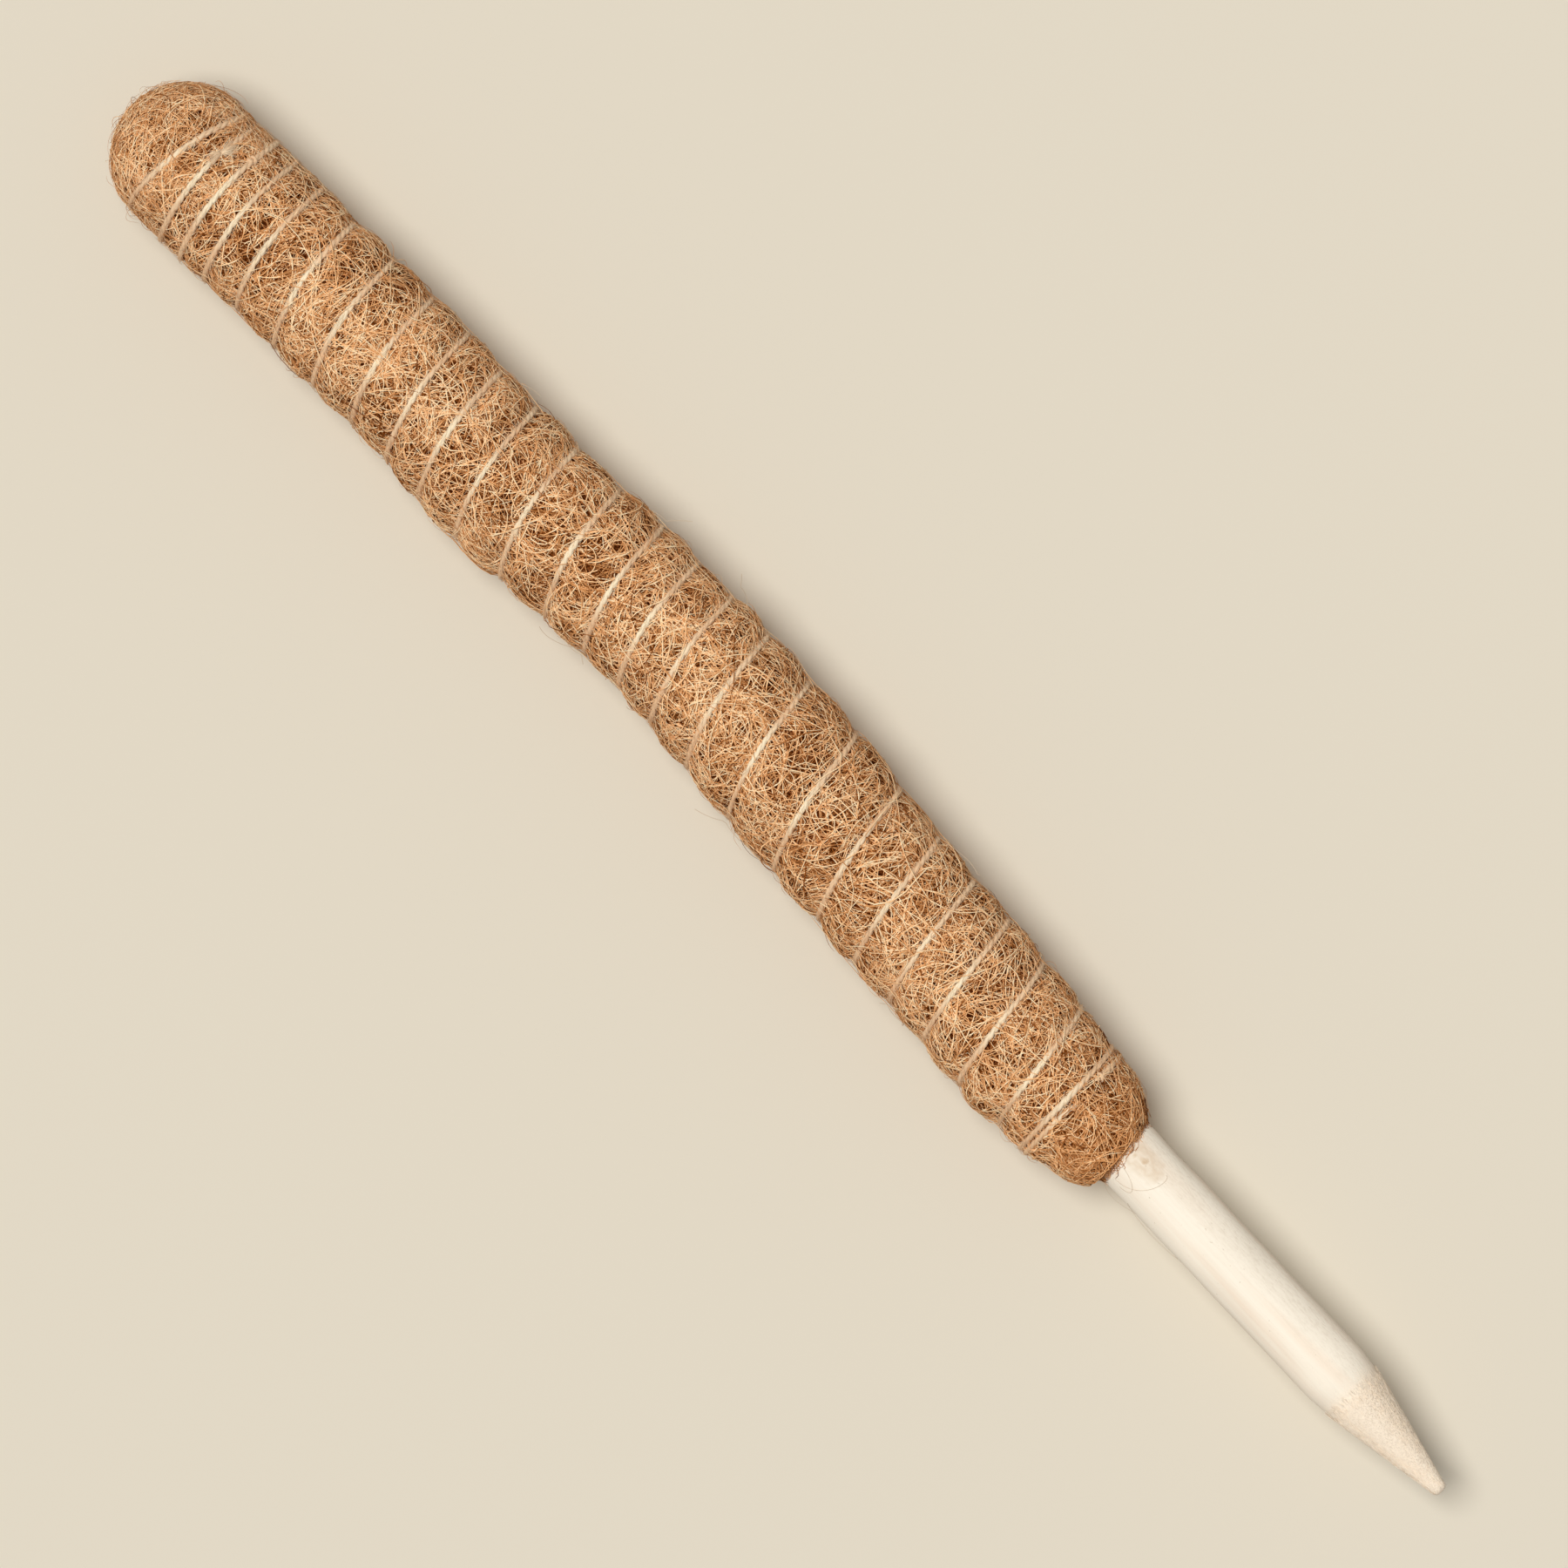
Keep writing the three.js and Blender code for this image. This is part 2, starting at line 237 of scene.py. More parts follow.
# Noises in the materials, as scale, detail, roughness and distortion
FELT_STREAKS = tuple((scale, 2.0, 0.6, 0.8) for scale in (
    (2600, 700, 700), (700, 2600, 900), (900, 700, 2600)))
FELT_PATCH = (160, 2.0)
STRAND_CHANGE = ((140, 4, 1), 1.0)
JUTE_STRETCH = (90, 2.0, 0.6)
JUTE_FIBRES = ((1500, 1500, 4200), 3.0, 0.7)
WOOD_GRAIN = ((1400, 1400, 40), 3.0, 0.6, 0.4)
WOOD_STREAK = ((170, 170, 9), 3.0, 0.55, 0.6)
WOOD_SPECK = ((2200, 2200, 1100), 1.0)
WOOD_DRY = ((2300, 2300, 650), 3.0, 0.7)
WOOD_GRIT = ((3600, 3600, 2500), 2.0, 0.7)
KNOT_WOBBLE = (260, 2.0)
KNOT_WOBBLE_SIZE = 1.7

# The knot mark in the wood, and its strength from its middle outwards
KNOT_MARK_PLACE = (1.2 * MM, -7.4 * MM, -5 * MM)
KNOT_MARK_SIZE = (3.2 * MM, 3.2 * MM, 5 * MM)
KNOT_MARK_STOPS = ((0.0, 0.95), (0.2, 0.5), (0.34, 0.12), (0.58, 0.34), (0.75, 0.18), (1.0, 0.0))

# Stage
CAMERA_MIDDLE = Vector((0.8 * MM, 0, 104 * MM))
FRAME_WIDTH = 328 * MM
SENSOR_WIDTH = 36.0
PHOTO_RIGHT = Vector((0.7272, 0, -0.68643))
PHOTO_UP = Vector((0.68643, 0, 0.7272))
BACKDROP_SIZE = 6
BACKDROP_DEPTH = 17.2 * MM
BACKDROP_GLOW = 1.07
KEY_DIRECTION = Vector((-0.12, -0.97, 0.22))
KEY_STRENGTH = 2.69
KEY_ANGLE = math.radians(30)
SOFT_FRONT = 0.24
SOFT_BEHIND = 0.6
SOFT_COOL = (1, 0.99, 0.97)
SOFT_WARM = (1, 0.9, 0.76)

# Seeds of the noises and the random draws
LUMP_SEED, RAGGED_SEED = 3, 5
FIBRE_SEED, ON_TOP_SEED = 7, 8
POINT_SEED, FINE_POINT_SEED, STAKE_SEED = 11, 12, 13
FRINGE_SEED, SPLINTER_SEED, STRAY_SEED = 17, 21, 27
PATCH_SEED, LIE_SEED = 31, 33
# The third seed makes the painted highlight on the twine uneven along it
THICKNESS_SEED, WOBBLE_SEED, HIGHLIGHT_SEED = 41, 42, 44
FUZZ_SEED, TUFT_SEED = 51, 61


def linear(red, green, blue):
    """Linear colour of an sRGB colour given as 0 to 255."""
    shares = [value / 255 for value in (red, green, blue)]
    return tuple(s / 12.92 if s <= 0.04045 else ((s + 0.055) / 1.055) ** 2.4 for s in shares)


def length_property(name, description, default, least):
    return bpy.props.FloatProperty(
        name=name, description=description, default=default, min=least, subtype="DISTANCE",
        unit="LENGTH", precision=5)


def count_property(name, description, default, least):
    return bpy.props.IntProperty(name=name, description=description, default=default, min=least)


def colour_property(name, description, *srgb):
    return bpy.props.FloatVectorProperty(
        name=name, description=description, subtype="COLOR", size=3, min=0, max=1,
        default=linear(*srgb))


class MossPoleSizes(bpy.types.PropertyGroup):
    """Sizes of the fine parts"""

    fibre_radius: length_property(
        "Fibre radius", "Half the thickness of a common coir fibre", 0.097 * MM, 0.02 * MM)
    fibre_length: length_property(
        "Fibre length", "Length of a common coir fibre that shows", 13 * MM, 2 * MM)
    fibre_count: count_property("Fibres", "Number of coir fibres on the outside", 30000, 100)
    ply_radius: length_property(
        "Ply radius", "Half the thickness of one of the twine's two plies", 0.485 * MM, 0.1 * MM)
    ply_lay: length_property("Twine lay", "Length of one full twist of the twine", 4.2 * MM, 1 * MM)
    fuzz_count: count_property("Twine hairs", "Number of fine hairs on the twine", 7500, 0)
    stray_count: count_property("Stray hairs", "Number of hairs that stand off the coir", 2400, 0)
    camera_distance: length_property(
        "Camera distance", "From the camera to the middle of the pole", 5.0, 0.3)


class MossPoleColours(bpy.types.PropertyGroup):
    """Colours of the finishes"""

    # Tones rise with a fibre's height in the mat as painted shade, so dark and brown coir go mostly to
    # deeper fibres and golden and pale coir to fibres on top
    coir_dark: colour_property("Dark coir", "Fibres deep in the mat", 66, 22, 1)
    coir_brown: colour_property("Brown coir", "Fibres a little below the surface", 140, 76, 25)
    coir_tan: colour_property("Tan coir", "Most fibres", 222, 157, 98)
    coir_gold: colour_property("Golden coir", "Fibres on top", 254, 203, 148)
    coir_pale: colour_property("Pale coir", "The few palest fibres", 255, 235, 195)
    # The felt colours stand for the shade in the gaps between the fibres: painted shade
    felt_dark: colour_property("Felt gaps", "Darkest gaps between the fibres", 34, 9, 0)
    felt_brown: colour_property("Felt", "Felted coir under the fibres", 104, 48, 12)
    # Pale jute shows mostly where the painted highlight lies along the front of the twine, and in random
    # pale stretches; brown jute is the twine where none lies
    jute_pale: colour_property("Pale jute", "Bleached twine", 246, 229, 196)
    jute_brown: colour_property("Brown jute", "Unbleached twine", 226, 184, 142)
    wood_pale: colour_property("Pale wood", "Bare stake", 247, 236, 217)
    wood_warm: colour_property("Warm wood", "Warm streaks in the stake", 241, 221, 198)
    # Grey wood also stands for painted shade on the +X side of the stake and its point
    wood_grey: colour_property("Grey wood", "Specks, dry grain and grit", 190, 168, 140)
    wood_knot: colour_property("Wood knot", "Knot mark under the coir", 196, 158, 108)
    wood_cut: colour_property("Cut wood", "Rough sharpened point", 250, 233, 210)
    backdrop: colour_property("Backdrop", "Surface that the pole lies on", 218, 209, 191)


# The pole's shape


def smooth(share):
    """Eases a share from 0 to 1."""
    share = np.clip(share, 0, 1)
    return share * share * (3 - 2 * share)


def between(value, low, high):
    """Share of the way from one limit to another, kept from 0 to 1."""
    return np.clip((value - low) / (high - low), 0, 1)


def unit(vectors):
    return vectors / np.maximum(np.linalg.norm(vectors, axis=-1, keepdims=True), 1e-12)


def around(middle, angle, radius, height):
    """Places at an angle round an upright middle line, a radius from it."""
    return np.stack([middle + radius * np.cos(angle), radius * np.sin(angle), height], -1)


def outward(angle):
    return around(0, angle, 1, 0 * angle)


def bow(height):
    """Sideways place of the stick's middle at a height."""
    return BOW * np.sin(np.pi * np.clip(height / COIR_LENGTH, 0, 1)) ** 2


def bumps(place, rows):
    """Sum of round bumps along a line, given as (middle, spread, size)."""
    return sum(size * np.exp(-((place - middle) / spread) ** 2) for middle, spread, size in rows)


def coir_middle(height):
    """Sideways place of the coir's middle, which lies unevenly about the stick."""
    return bow(height) + bumps(height, SHIFTS)


def eased_run(turn, start, softness):
    """A run that is 0 at turn 0, level before the start turn and one a turn after it."""
    def run(t):
        return (t + np.hypot(t, softness)) / 2
    return run(turn - start) - run(-start)


def main_pitch():
    """Pitch of the middle turns, so that the lashing ends at its height below the top."""
    opened = eased_run(LAST_TURN, *OPENING)
    closed = eased_run(LAST_TURN, *CLOSING)
    span = COIR_LENGTH - LASHING_END_BELOW_TOP - FIRST_TURN_HEIGHT
    ends = FOOT_PITCH * (LAST_TURN - opened) + LASHING_PITCH * closed
    return (span - ends) / (opened - closed)


MAIN_PITCH = main_pitch()
FLANK_SLOPE = 2 * CINCH_DEPTH / MAIN_PITCH
TWINE_LIFT = (TWINE_RADIUS + FIT_GAP) * math.hypot(1, FLANK_SLOPE) + FACET_MARGIN


def wander(wound, size, period, start):
    return size * np.sin(FULL_TURN * wound / period + start)


def lean_at(wound, turn):
    """How far a turn rises on one side and falls on the other, and sags at both."""
    wound = np.clip(wound, 0, LAST_TURN)
    side = np.sin(FULL_TURN * turn)
    top = smooth((wound - TOP_LEAN_START) / TOP_LEAN_RUN)
    lean = LEAN * np.sin(np.pi * wound / LAST_TURN) - TOP_LEAN * top
    return lean * side - SAG * np.minimum(1, wound / SAG_TURNS) * side ** 2


def level_height(turn):
    """Height of the twine after a number of turns, but for its lean."""
    opened = eased_run(turn, *OPENING)
    closed = eased_run(turn, *CLOSING)
    wound = np.clip(turn, 0, LAST_TURN)
    return (FIRST_TURN_HEIGHT + FOOT_PITCH * (turn - opened) + MAIN_PITCH * (opened - closed)
            + LASHING_PITCH * closed + wander(wound, *SLOW_WANDER) + wander(wound, *QUICK_WANDER))


def winding_height(turn):
    return level_height(turn) + lean_at(turn, turn)


def groove_height(turn, height=winding_height):
    """Height of the coir's groove, which runs on at the main pitch past both ends of the twine."""
    wound = np.clip(turn, END_KNOT_TURN, LAST_TURN)
    return height(wound) + MAIN_PITCH * (turn - wound)


def groove_pitch(turn, height=winding_height):
    return groove_height(turn + 0.5, height) - groove_height(turn - 0.5, height)


LEVEL_TURNS = np.linspace(END_KNOT_TURN - 3, LAST_TURN + 3, 4000)
LEVEL_HEIGHTS = groove_height(LEVEL_TURNS, level_height)
LEVEL_PITCHES = groove_pitch(LEVEL_TURNS, level_height)


def between_turns(angle, height):
    """Share of the way from one turn of twine to the next above it, and the turns wound there."""
    front = (angle + np.pi / 2) / FULL_TURN
    wound = np.interp(height, LEVEL_HEIGHTS, LEVEL_TURNS)
    wound = np.interp(height - lean_at(wound, front), LEVEL_HEIGHTS, LEVEL_TURNS)
    return (wound - front) % 1.0, wound


def value_noise(across, along, seed):
    """Smooth noise from -1 to 1 on a plane, one cell a unit."""
    table = np.random.default_rng(seed).uniform(-1, 1, (NOISE_CELLS, NOISE_CELLS))
    left = np.floor(across).astype(int)
    low = np.floor(along).astype(int)
    x = smooth(across - left)
    y = smooth(along - low)

    def row(up):
        first, last = (table[(left + i) % NOISE_CELLS, (low + up) % NOISE_CELLS] for i in (0, 1))
        return first * (1 - x) + last * x
    return row(0) * (1 - y) + row(1) * y


def line_noise(along, seed):
    return value_noise(along, 0 * along + 0.5, seed)


def lumps(angle, height):
    """Unevenness of the mat, which meets itself round the pole."""
    share = (angle / FULL_TURN) % 1.0
    back, front = (value_noise((share - i) * LUMPS_AROUND, height / LUMP_WIDTH, LUMP_SEED)
                   for i in (0, 1))
    return LUMP_SIZE * (back * (1 - share) + front * share)


def crest_radius(height):
    drawn_in = 1 - smooth((height - FIRST_TURN_HEIGHT) / FOOT_TAPER_LENGTH)
    return CREST_RADIUS - FOOT_DRAW_IN * drawn_in


def groove_radius(turn):
    """Radius of the coir under the twine: wide gaps swell more than narrow ones."""
    swell = np.minimum(1, groove_pitch(turn) / MAIN_PITCH)
    return crest_radius(groove_height(turn)) - CINCH_DEPTH * swell


def coir_radius(angle, height, cinch=FELT_CINCH):
    """Radius of the coir's surface about its middle line."""
    gap, wound = between_turns(angle, height)
    pitch = np.interp(wound, LEVEL_TURNS, LEVEL_PITCHES)
    depth = cinch * CINCH_DEPTH * np.minimum(1, pitch / MAIN_PITCH)
    radius = crest_radius(height) + bumps(height, SWELLS) + lumps(angle, height)
    radius = radius - depth * np.abs(2 * gap - 1) ** PILLOW_FULLNESS
    foot = between(height, FOOT_TOP, FOOT_BOTTOM)
    return FOOT_RADIUS + (radius - FOOT_RADIUS) * (1 - foot ** 2) ** FOOT_CURVE


def settle(places, cinch=FELT_CINCH):
    """The nearest places on the coir's surface, straight out from its middle, with their normals."""
    height = np.clip(places[..., 2], 0.2 * MM, DOME_BASE)
    rise = np.maximum(places[..., 2] - DOME_BASE, 0)
    out = unit(np.stack([places[..., 0] - coir_middle(height), places[..., 1], rise], -1))
    radius = coir_radius(np.arctan2(out[..., 1], out[..., 0]), height, cinch)
    scale = np.stack([radius, radius, np.full_like(radius, DOME_RISE)], -1)
    reach = 1 / np.linalg.norm(out / scale, axis=-1, keepdims=True)
    middle = np.stack([coir_middle(height), np.zeros_like(height), height], -1)
    return middle + out * reach, unit(out / scale ** 2)


def drape(points):
    """Lets the foot of the coir hang lower in front and end higher on one side."""
    x, y = points[..., 0] - coir_middle(points[..., 2]), points[..., 1]
    reach = np.maximum(np.hypot(x, y), MM)
    shift = DRAPE_ACROSS * x / reach + DRAPE_FRONT * np.minimum(y / reach, 0)
    share = np.clip(1 - points[..., 2] / DRAPE_HEIGHT, 0, 1.1)
    moved = points.copy()
    moved[..., 2] += shift * share ** 2
    return moved


def turn_angle(turn):
    """Angle round the pole after a number of turns, counted from the front."""
    return FULL_TURN * turn - np.pi / 2


def pole_turn(turn, radius, height):
    return around(coir_middle(height), turn_angle(turn), radius, height)


def twine_path(turn):
    """Middle line of the twine and the direction away from the coir's middle."""
    height = winding_height(turn) + bumps(turn, TWINE_RAISES)
    dome = np.sqrt(1 - np.clip((height - DOME_BASE) / DOME_RISE, 0, 0.9) ** 2)
    radius = groove_radius(turn) * dome + bumps(height, SWELLS) + lumps(turn_angle(turn), height)
    radius = radius + TWINE_LIFT - TWINE_SINK - bumps(turn, TWINE_SINKS)
    places = pole_turn(turn, radius, height)
    return places, unit(places - pole_turn(turn, np.zeros_like(turn), height))


# Meshes


class Draws:
    """Seeded random numbers in columns, a row for each strand, and the share along the strands."""

    def __init__(self, seed, count, steps):
        self.rng = np.random.default_rng(seed)
        self.shape = (count, 1)
        self.share = np.linspace(0, 1, steps)

    def uniform(self, low, high):
        return self.rng.uniform(low, high, self.shape)

    def normal(self, middle, spread):
        return self.rng.normal(middle, spread, self.shape)


def link(piece):
    bpy.context.scene.collection.objects.link(piece)
    return piece


def deselect():
    if bpy.context.object and bpy.context.object.mode != "OBJECT":
        bpy.ops.object.mode_set(mode="OBJECT")
    bpy.ops.object.select_all(action="DESELECT")


def named(name, material):
    """The active object, named, with its material and smooth faces."""
    piece = bpy.context.object
    piece.name = name
    piece.data.name = name
    piece.data.materials.clear()
    piece.data.materials.append(material)
    piece.data.shade_smooth()
    return piece


def mesh_points(mesh):
    points = np.empty(len(mesh.vertices) * 3)
    mesh.vertices.foreach_get("co", points)
    return points.reshape(-1, 3)


def set_points(mesh, points):
    mesh.vertices.foreach_set("co", points.ravel())
    mesh.update()


def dress(piece, slot, *nodes):
    """Lets a piece ride on the pole and stand for the part's nodes, which it hides. Its slot is not used.
    """
    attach(piece, BODY)
    if nodes:
        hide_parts(*nodes)
    return piece


def strand_rings(paths, normals, radii, sides):
    """Corners of tubes round many paths, strand by step by side, and how their shading faces."""
    along = unit(np.gradient(paths, axis=1))
    across = unit(np.cross(along, normals))
    up = np.cross(across, along)
    angle = (np.arange(sides) + 0.25) * FULL_TURN / sides
    ring = (np.cos(angle)[:, None] * across[:, :, None, :]
            + np.sin(angle)[:, None] * up[:, :, None, :])
    up = np.broadcast_to(up[:, :, None, :], ring.shape)
    outside = (ring * up).sum(-1, keepdims=True) > 0
    facing = unit(np.where(outside, ring + FACING_OUT * up, ring))
    return paths[:, :, None, :] + radii[:, :, None, None] * ring, facing


def strands(name, paths, normals, radii, maps, sides, material):
    """One mesh of closed tubes. maps gives each strand's place across and along its colour map."""
    count, steps = paths.shape[:2]
    points, facing = strand_rings(paths, normals, radii, sides)
    index = np.arange(count * steps * sides).reshape(count, steps, sides)
    low = index[:, :-1]
    high = index[:, 1:]
    quads = np.stack([low, high, np.roll(high, -1, 2), np.roll(low, -1, 2)], -1).reshape(-1, 4)
    caps = np.concatenate([index[:, 0], index[:, -1, ::-1]])
    corners = np.concatenate([quads.ravel(), caps.ravel()])
    starts = np.concatenate([
        np.arange(len(quads)) * 4, len(quads) * 4 + np.arange(len(caps)) * sides])
    mesh = bpy.data.meshes.new(name)
    mesh.vertices.add(points.size // 3)
    mesh.vertices.foreach_set("co", points.ravel())
    mesh.loops.add(len(corners))
    mesh.loops.foreach_set("vertex_index", corners.astype(np.int32))
    mesh.polygons.add(len(starts))
    mesh.polygons.foreach_set("loop_start", starts.astype(np.int32))
    mesh.update(calc_edges=True)
    across, along = np.broadcast_arrays(maps[0][:, None, None], maps[1][None, :, None])
    across = across + MAP_WIDTH * np.linspace(-1, 1, sides)
    along = np.broadcast_to(along, across.shape)
    layer = mesh.uv_layers.new(name=STRAND_MAP)
    layer.uv.foreach_set("vector", np.stack(
        [across.ravel()[corners], along.ravel()[corners]], -1).astype(np.float32).ravel())
    mesh.materials.append(material)
    mesh.shade_smooth()
    if sides == FIBRE_SIDES:
        mesh.normals_split_custom_set_from_vertices(facing.reshape(-1, 3))
    return link(bpy.data.objects.new(name, mesh))


def hairs(name, slot, paths, normals, radii, tones, material):
    """A piece of thin strands, each coloured by its tone. Thickness and tone may be the same for all."""
    count, steps = paths.shape[:2]
    radii = np.broadcast_to(radii, (count, steps))
    tones = np.broadcast_to(np.clip(tones, *TONES).ravel(), count)
    maps = (tones, np.linspace(0, 1, steps))
    return dress(strands(name, paths, normals, radii, maps, FIBRE_SIDES, material), slot)


# Materials


class Nodes:
    """Short ways to add nodes to a tree."""

    def __init__(self, tree):
        self.tree = tree

    def feed(self, socket, value):
        """Links a socket to another one, or gives it a value of its own."""
        if isinstance(value, bpy.types.NodeSocket):
            self.tree.links.new(value, socket)
        elif socket.type == "RGBA":
            socket.default_value = (*value, 1)
        else:
            socket.default_value = value

    def add(self, kind, inputs=None, **values):
        node = self.tree.nodes.new(kind)
        for name, value in values.items():
            setattr(node, name, value)
        for name, value in (inputs or {}).items():
            self.feed(node.inputs[name], value)
        return node

    def group(self, tree, **inputs):
        """The results of an effect."""
        return self.add("ShaderNodeGroup", inputs, node_tree=tree).outputs

    def object_place(self):
        return self.add("ShaderNodeTexCoord").outputs["Object"]

    def axes(self, vector):
        return self.add("ShaderNodeSeparateXYZ", {"Vector": vector}).outputs

    def ramp(self, factor, *stops):
        node = self.add("ShaderNodeValToRGB", {"Fac": factor})
        elements = node.color_ramp.elements
        while len(elements) < len(stops):
            elements.new(0.5)
        for element, (place, colour) in zip(elements, stops):
            element.position = place
            element.color = (*colour, 1)
        return node.outputs["Color"]

    def mix(self, factor, first, second):
        """A mix of two colours. Its sockets go by number, as the node has namesakes for other kinds."""
        return self.add(
            "ShaderNodeMix", {0: factor, 6: first, 7: second}, data_type="RGBA").outputs[2]

    def math(self, operation, first, second=0):
        return self.add("ShaderNodeMath", {0: first, 1: second}, operation=operation).outputs["Value"]

    def plus(self, first, second):
        return self.math("ADD", first, second)

    def times(self, first, second):
        return self.math("MULTIPLY", first, second)

    def centred(self, noise, size):
        """A noise about 0, of a size."""
        return self.times(self.plus(noise, -0.5), size)

    def noise(self, place, scale, detail=2.0, roughness=0.5, distortion=0.0):
        """Noise at a place. A scale for each axis stretches it."""
        if isinstance(scale, tuple):
            place = self.add("ShaderNodeMapping", {"Vector": place, "Scale": scale}).outputs["Vector"]
            scale = 1.0
        return self.add("ShaderNodeTexNoise", {
            "Vector": place, "Scale": scale, "Detail": detail, "Roughness": roughness,
            "Distortion": distortion}).outputs["Fac"]

    def spread(self, value, low, high, first=0.0, last=1.0):
        """A value between two limits, spread from a first to a last value."""
        return self.add("ShaderNodeMapRange", {
            "Value": value, "From Min": low, "From Max": high, "To Min": first, "To Max": last}
        ).outputs["Result"]

    def cover(self, shader, colour, height, strength, depth):
        """Gives a surface its colour and its fine relief."""
        bump = self.add("ShaderNodeBump", {"Height": height, "Strength": strength, "Distance": depth})
        self.feed(shader.inputs["Base Color"], colour)
        self.feed(shader.inputs["Normal"], bump.outputs["Normal"])

    def either(self, factor, first, second, output):
        """Shows one shader or another."""
        mixed = self.add("ShaderNodeMixShader", {"Fac": factor, 1: first, 2: second})
        self.feed(self.tree.nodes[output].inputs["Surface"], mixed.outputs["Shader"])


def new_material(name, roughness, specular):
    """A material with a plain surface shader, its node helper and its shader node."""
    material = bpy.data.materials.new(name)
    material.use_nodes = True
    shader = material.node_tree.nodes["Principled BSDF"]
    shader.inputs["Roughness"].default_value = roughness
    shader.inputs["Specular IOR Level"].default_value = specular
    return material, Nodes(material.node_tree), shader


def node_group(name, inputs, outputs):
    """An empty effect with its helper, the sockets that feed it and those that take its results."""
    tree = bpy.data.node_groups.new(name, "ShaderNodeTree")
    tree.interface.new_socket("Place", in_out="INPUT", socket_type="NodeSocketVector")
    for way, sockets in (("INPUT", inputs), ("OUTPUT", outputs)):
        for socket in sockets:
            tree.interface.new_socket(socket, in_out=way, socket_type="NodeSocketFloat")
    nodes = Nodes(tree)
    return nodes, nodes.add("NodeGroupInput").outputs, nodes.add("NodeGroupOutput").inputs


def strand_shade():
    """Darker ends and stretches along a strand, read from its own map."""
    if "strand_shade" in bpy.data.node_groups:
        return bpy.data.node_groups["strand_shade"]
    nodes, given, results = node_group("strand_shade", ("Ends", "Stretches"), ("Shade",))
    along = nodes.axes(given["Place"])["Y"]
    middle = nodes.math("SINE", nodes.times(along, math.pi))
    ends = nodes.spread(middle, 0.0, 0.7, given["Ends"])
    change = nodes.noise(given["Place"], *STRAND_CHANGE)
    stretches = nodes.spread(change, 0.36, 0.58, given["Stretches"])
    nodes.feed(results["Shade"], nodes.times(ends, stretches))
    return nodes.tree


def tone_material(name, roughness, specular, ends, stretches, *stops):
    """Strands coloured by their own map: tone across it, shade along it. Made once for each name."""
    if name in bpy.data.materials:
        return bpy.data.materials[name]
    material, nodes, shader = new_material(name, roughness, specular)
    place = nodes.add("ShaderNodeUVMap", uv_map=STRAND_MAP).outputs["UV"]
    shade = nodes.group(strand_shade(), Place=place, Ends=ends, Stretches=stretches)["Shade"]
    tone = nodes.times(nodes.axes(place)["X"], shade)
    nodes.feed(shader.inputs["Base Color"], nodes.ramp(tone, *stops))
    return material


def fibre_material(colours):
    return tone_material(
        "coir_fibre", 0.7, 0.02, 0.85, 0.6, (0.0, colours.coir_dark), (0.25, colours.coir_brown),
        (0.5, colours.coir_tan), (0.78, colours.coir_gold), (1.0, colours.coir_pale))


def jute_hair_material(colours):
    return tone_material(
        "jute_hair", 0.7, 0.2, 0.95, 0.9, (0.0, colours.jute_brown), (1.0, colours.jute_pale))


def splinter_material(colours):
    return tone_material(
        "wood_splinter", 0.65, 0.3, 0.9, 0.85, (0.0, colours.wood_grey), (0.4, colours.wood_cut),
        (1.0, colours.wood_pale))


def felt_streaks():
    """Fine streaks that cross each other, and the same with slow patches."""
    if "felt_streaks" in bpy.data.node_groups:
        return bpy.data.node_groups["felt_streaks"]
    nodes, given, results = node_group("felt_streaks", (), ("Streaks", "Tone"))
    first, second, third = (nodes.noise(given["Place"], *noise) for noise in FELT_STREAKS)
    top = nodes.math("MAXIMUM", nodes.math("MAXIMUM", first, second), third)
    patch = nodes.noise(given["Place"], *FELT_PATCH)
    nodes.feed(results["Streaks"], top)
    nodes.feed(results["Tone"], nodes.plus(top, nodes.centred(patch, 0.3)))
    return nodes.tree


def felt_material(name, colours, depth):
    """Felted fibres in the gaps, coloured dark as painted shade between the fibres, and darker where they
    lie deeper, as painted shade.
    """
    material, nodes, shader = new_material(name, 0.9, 0.05)
    felt = nodes.group(felt_streaks(), Place=nodes.object_place())
    colour = nodes.ramp(
        felt["Tone"], (0.45, colours.felt_dark), (0.6 + depth, colours.felt_brown),
        (0.85, colours.coir_tan))
    nodes.cover(shader, colour, felt["Streaks"], 0.6, 0.3 * MM)
    return material


def jute_material(colours):
    """Soft twine, pale along the front as a painted highlight and pale in random stretches, with fine
    fibres along the plies.
    """
    material, nodes, shader = new_material("jute", 0.8, 0.2)
    place = nodes.object_place()
    highlight_share = nodes.add("ShaderNodeAttribute", attribute_name="bleached").outputs["Fac"]
    fibres = nodes.noise(place, *JUTE_FIBRES)
    uneven = nodes.plus(nodes.times(nodes.noise(place, *JUTE_STRETCH), 0.8), nodes.times(fibres, 0.6))
    level = nodes.plus(nodes.plus(uneven, -0.7), highlight_share)
    colour = nodes.ramp(level, (0.0, colours.jute_brown), (0.9, colours.jute_pale))
    nodes.cover(shader, colour, fibres, 0.5, 0.12 * MM)
    return material


def knot_mark(nodes, place):
    """Strength of the uneven rings round the knot in the wood."""
    ring = nodes.add("ShaderNodeMapping", {
        "Vector": place, "Location": tuple(-c / s for c, s in zip(KNOT_MARK_PLACE, KNOT_MARK_SIZE)),
        "Scale": tuple(1 / s for s in KNOT_MARK_SIZE)}).outputs["Vector"]
    distance = nodes.add("ShaderNodeVectorMath", {"Vector": ring}, operation="LENGTH").outputs["Value"]
    wobble = nodes.centred(nodes.noise(place, *KNOT_WOBBLE), KNOT_WOBBLE_SIZE)
    stops = ((at, (strength,) * 3) for at, strength in KNOT_MARK_STOPS)
    return nodes.ramp(nodes.plus(distance, wobble), *stops)


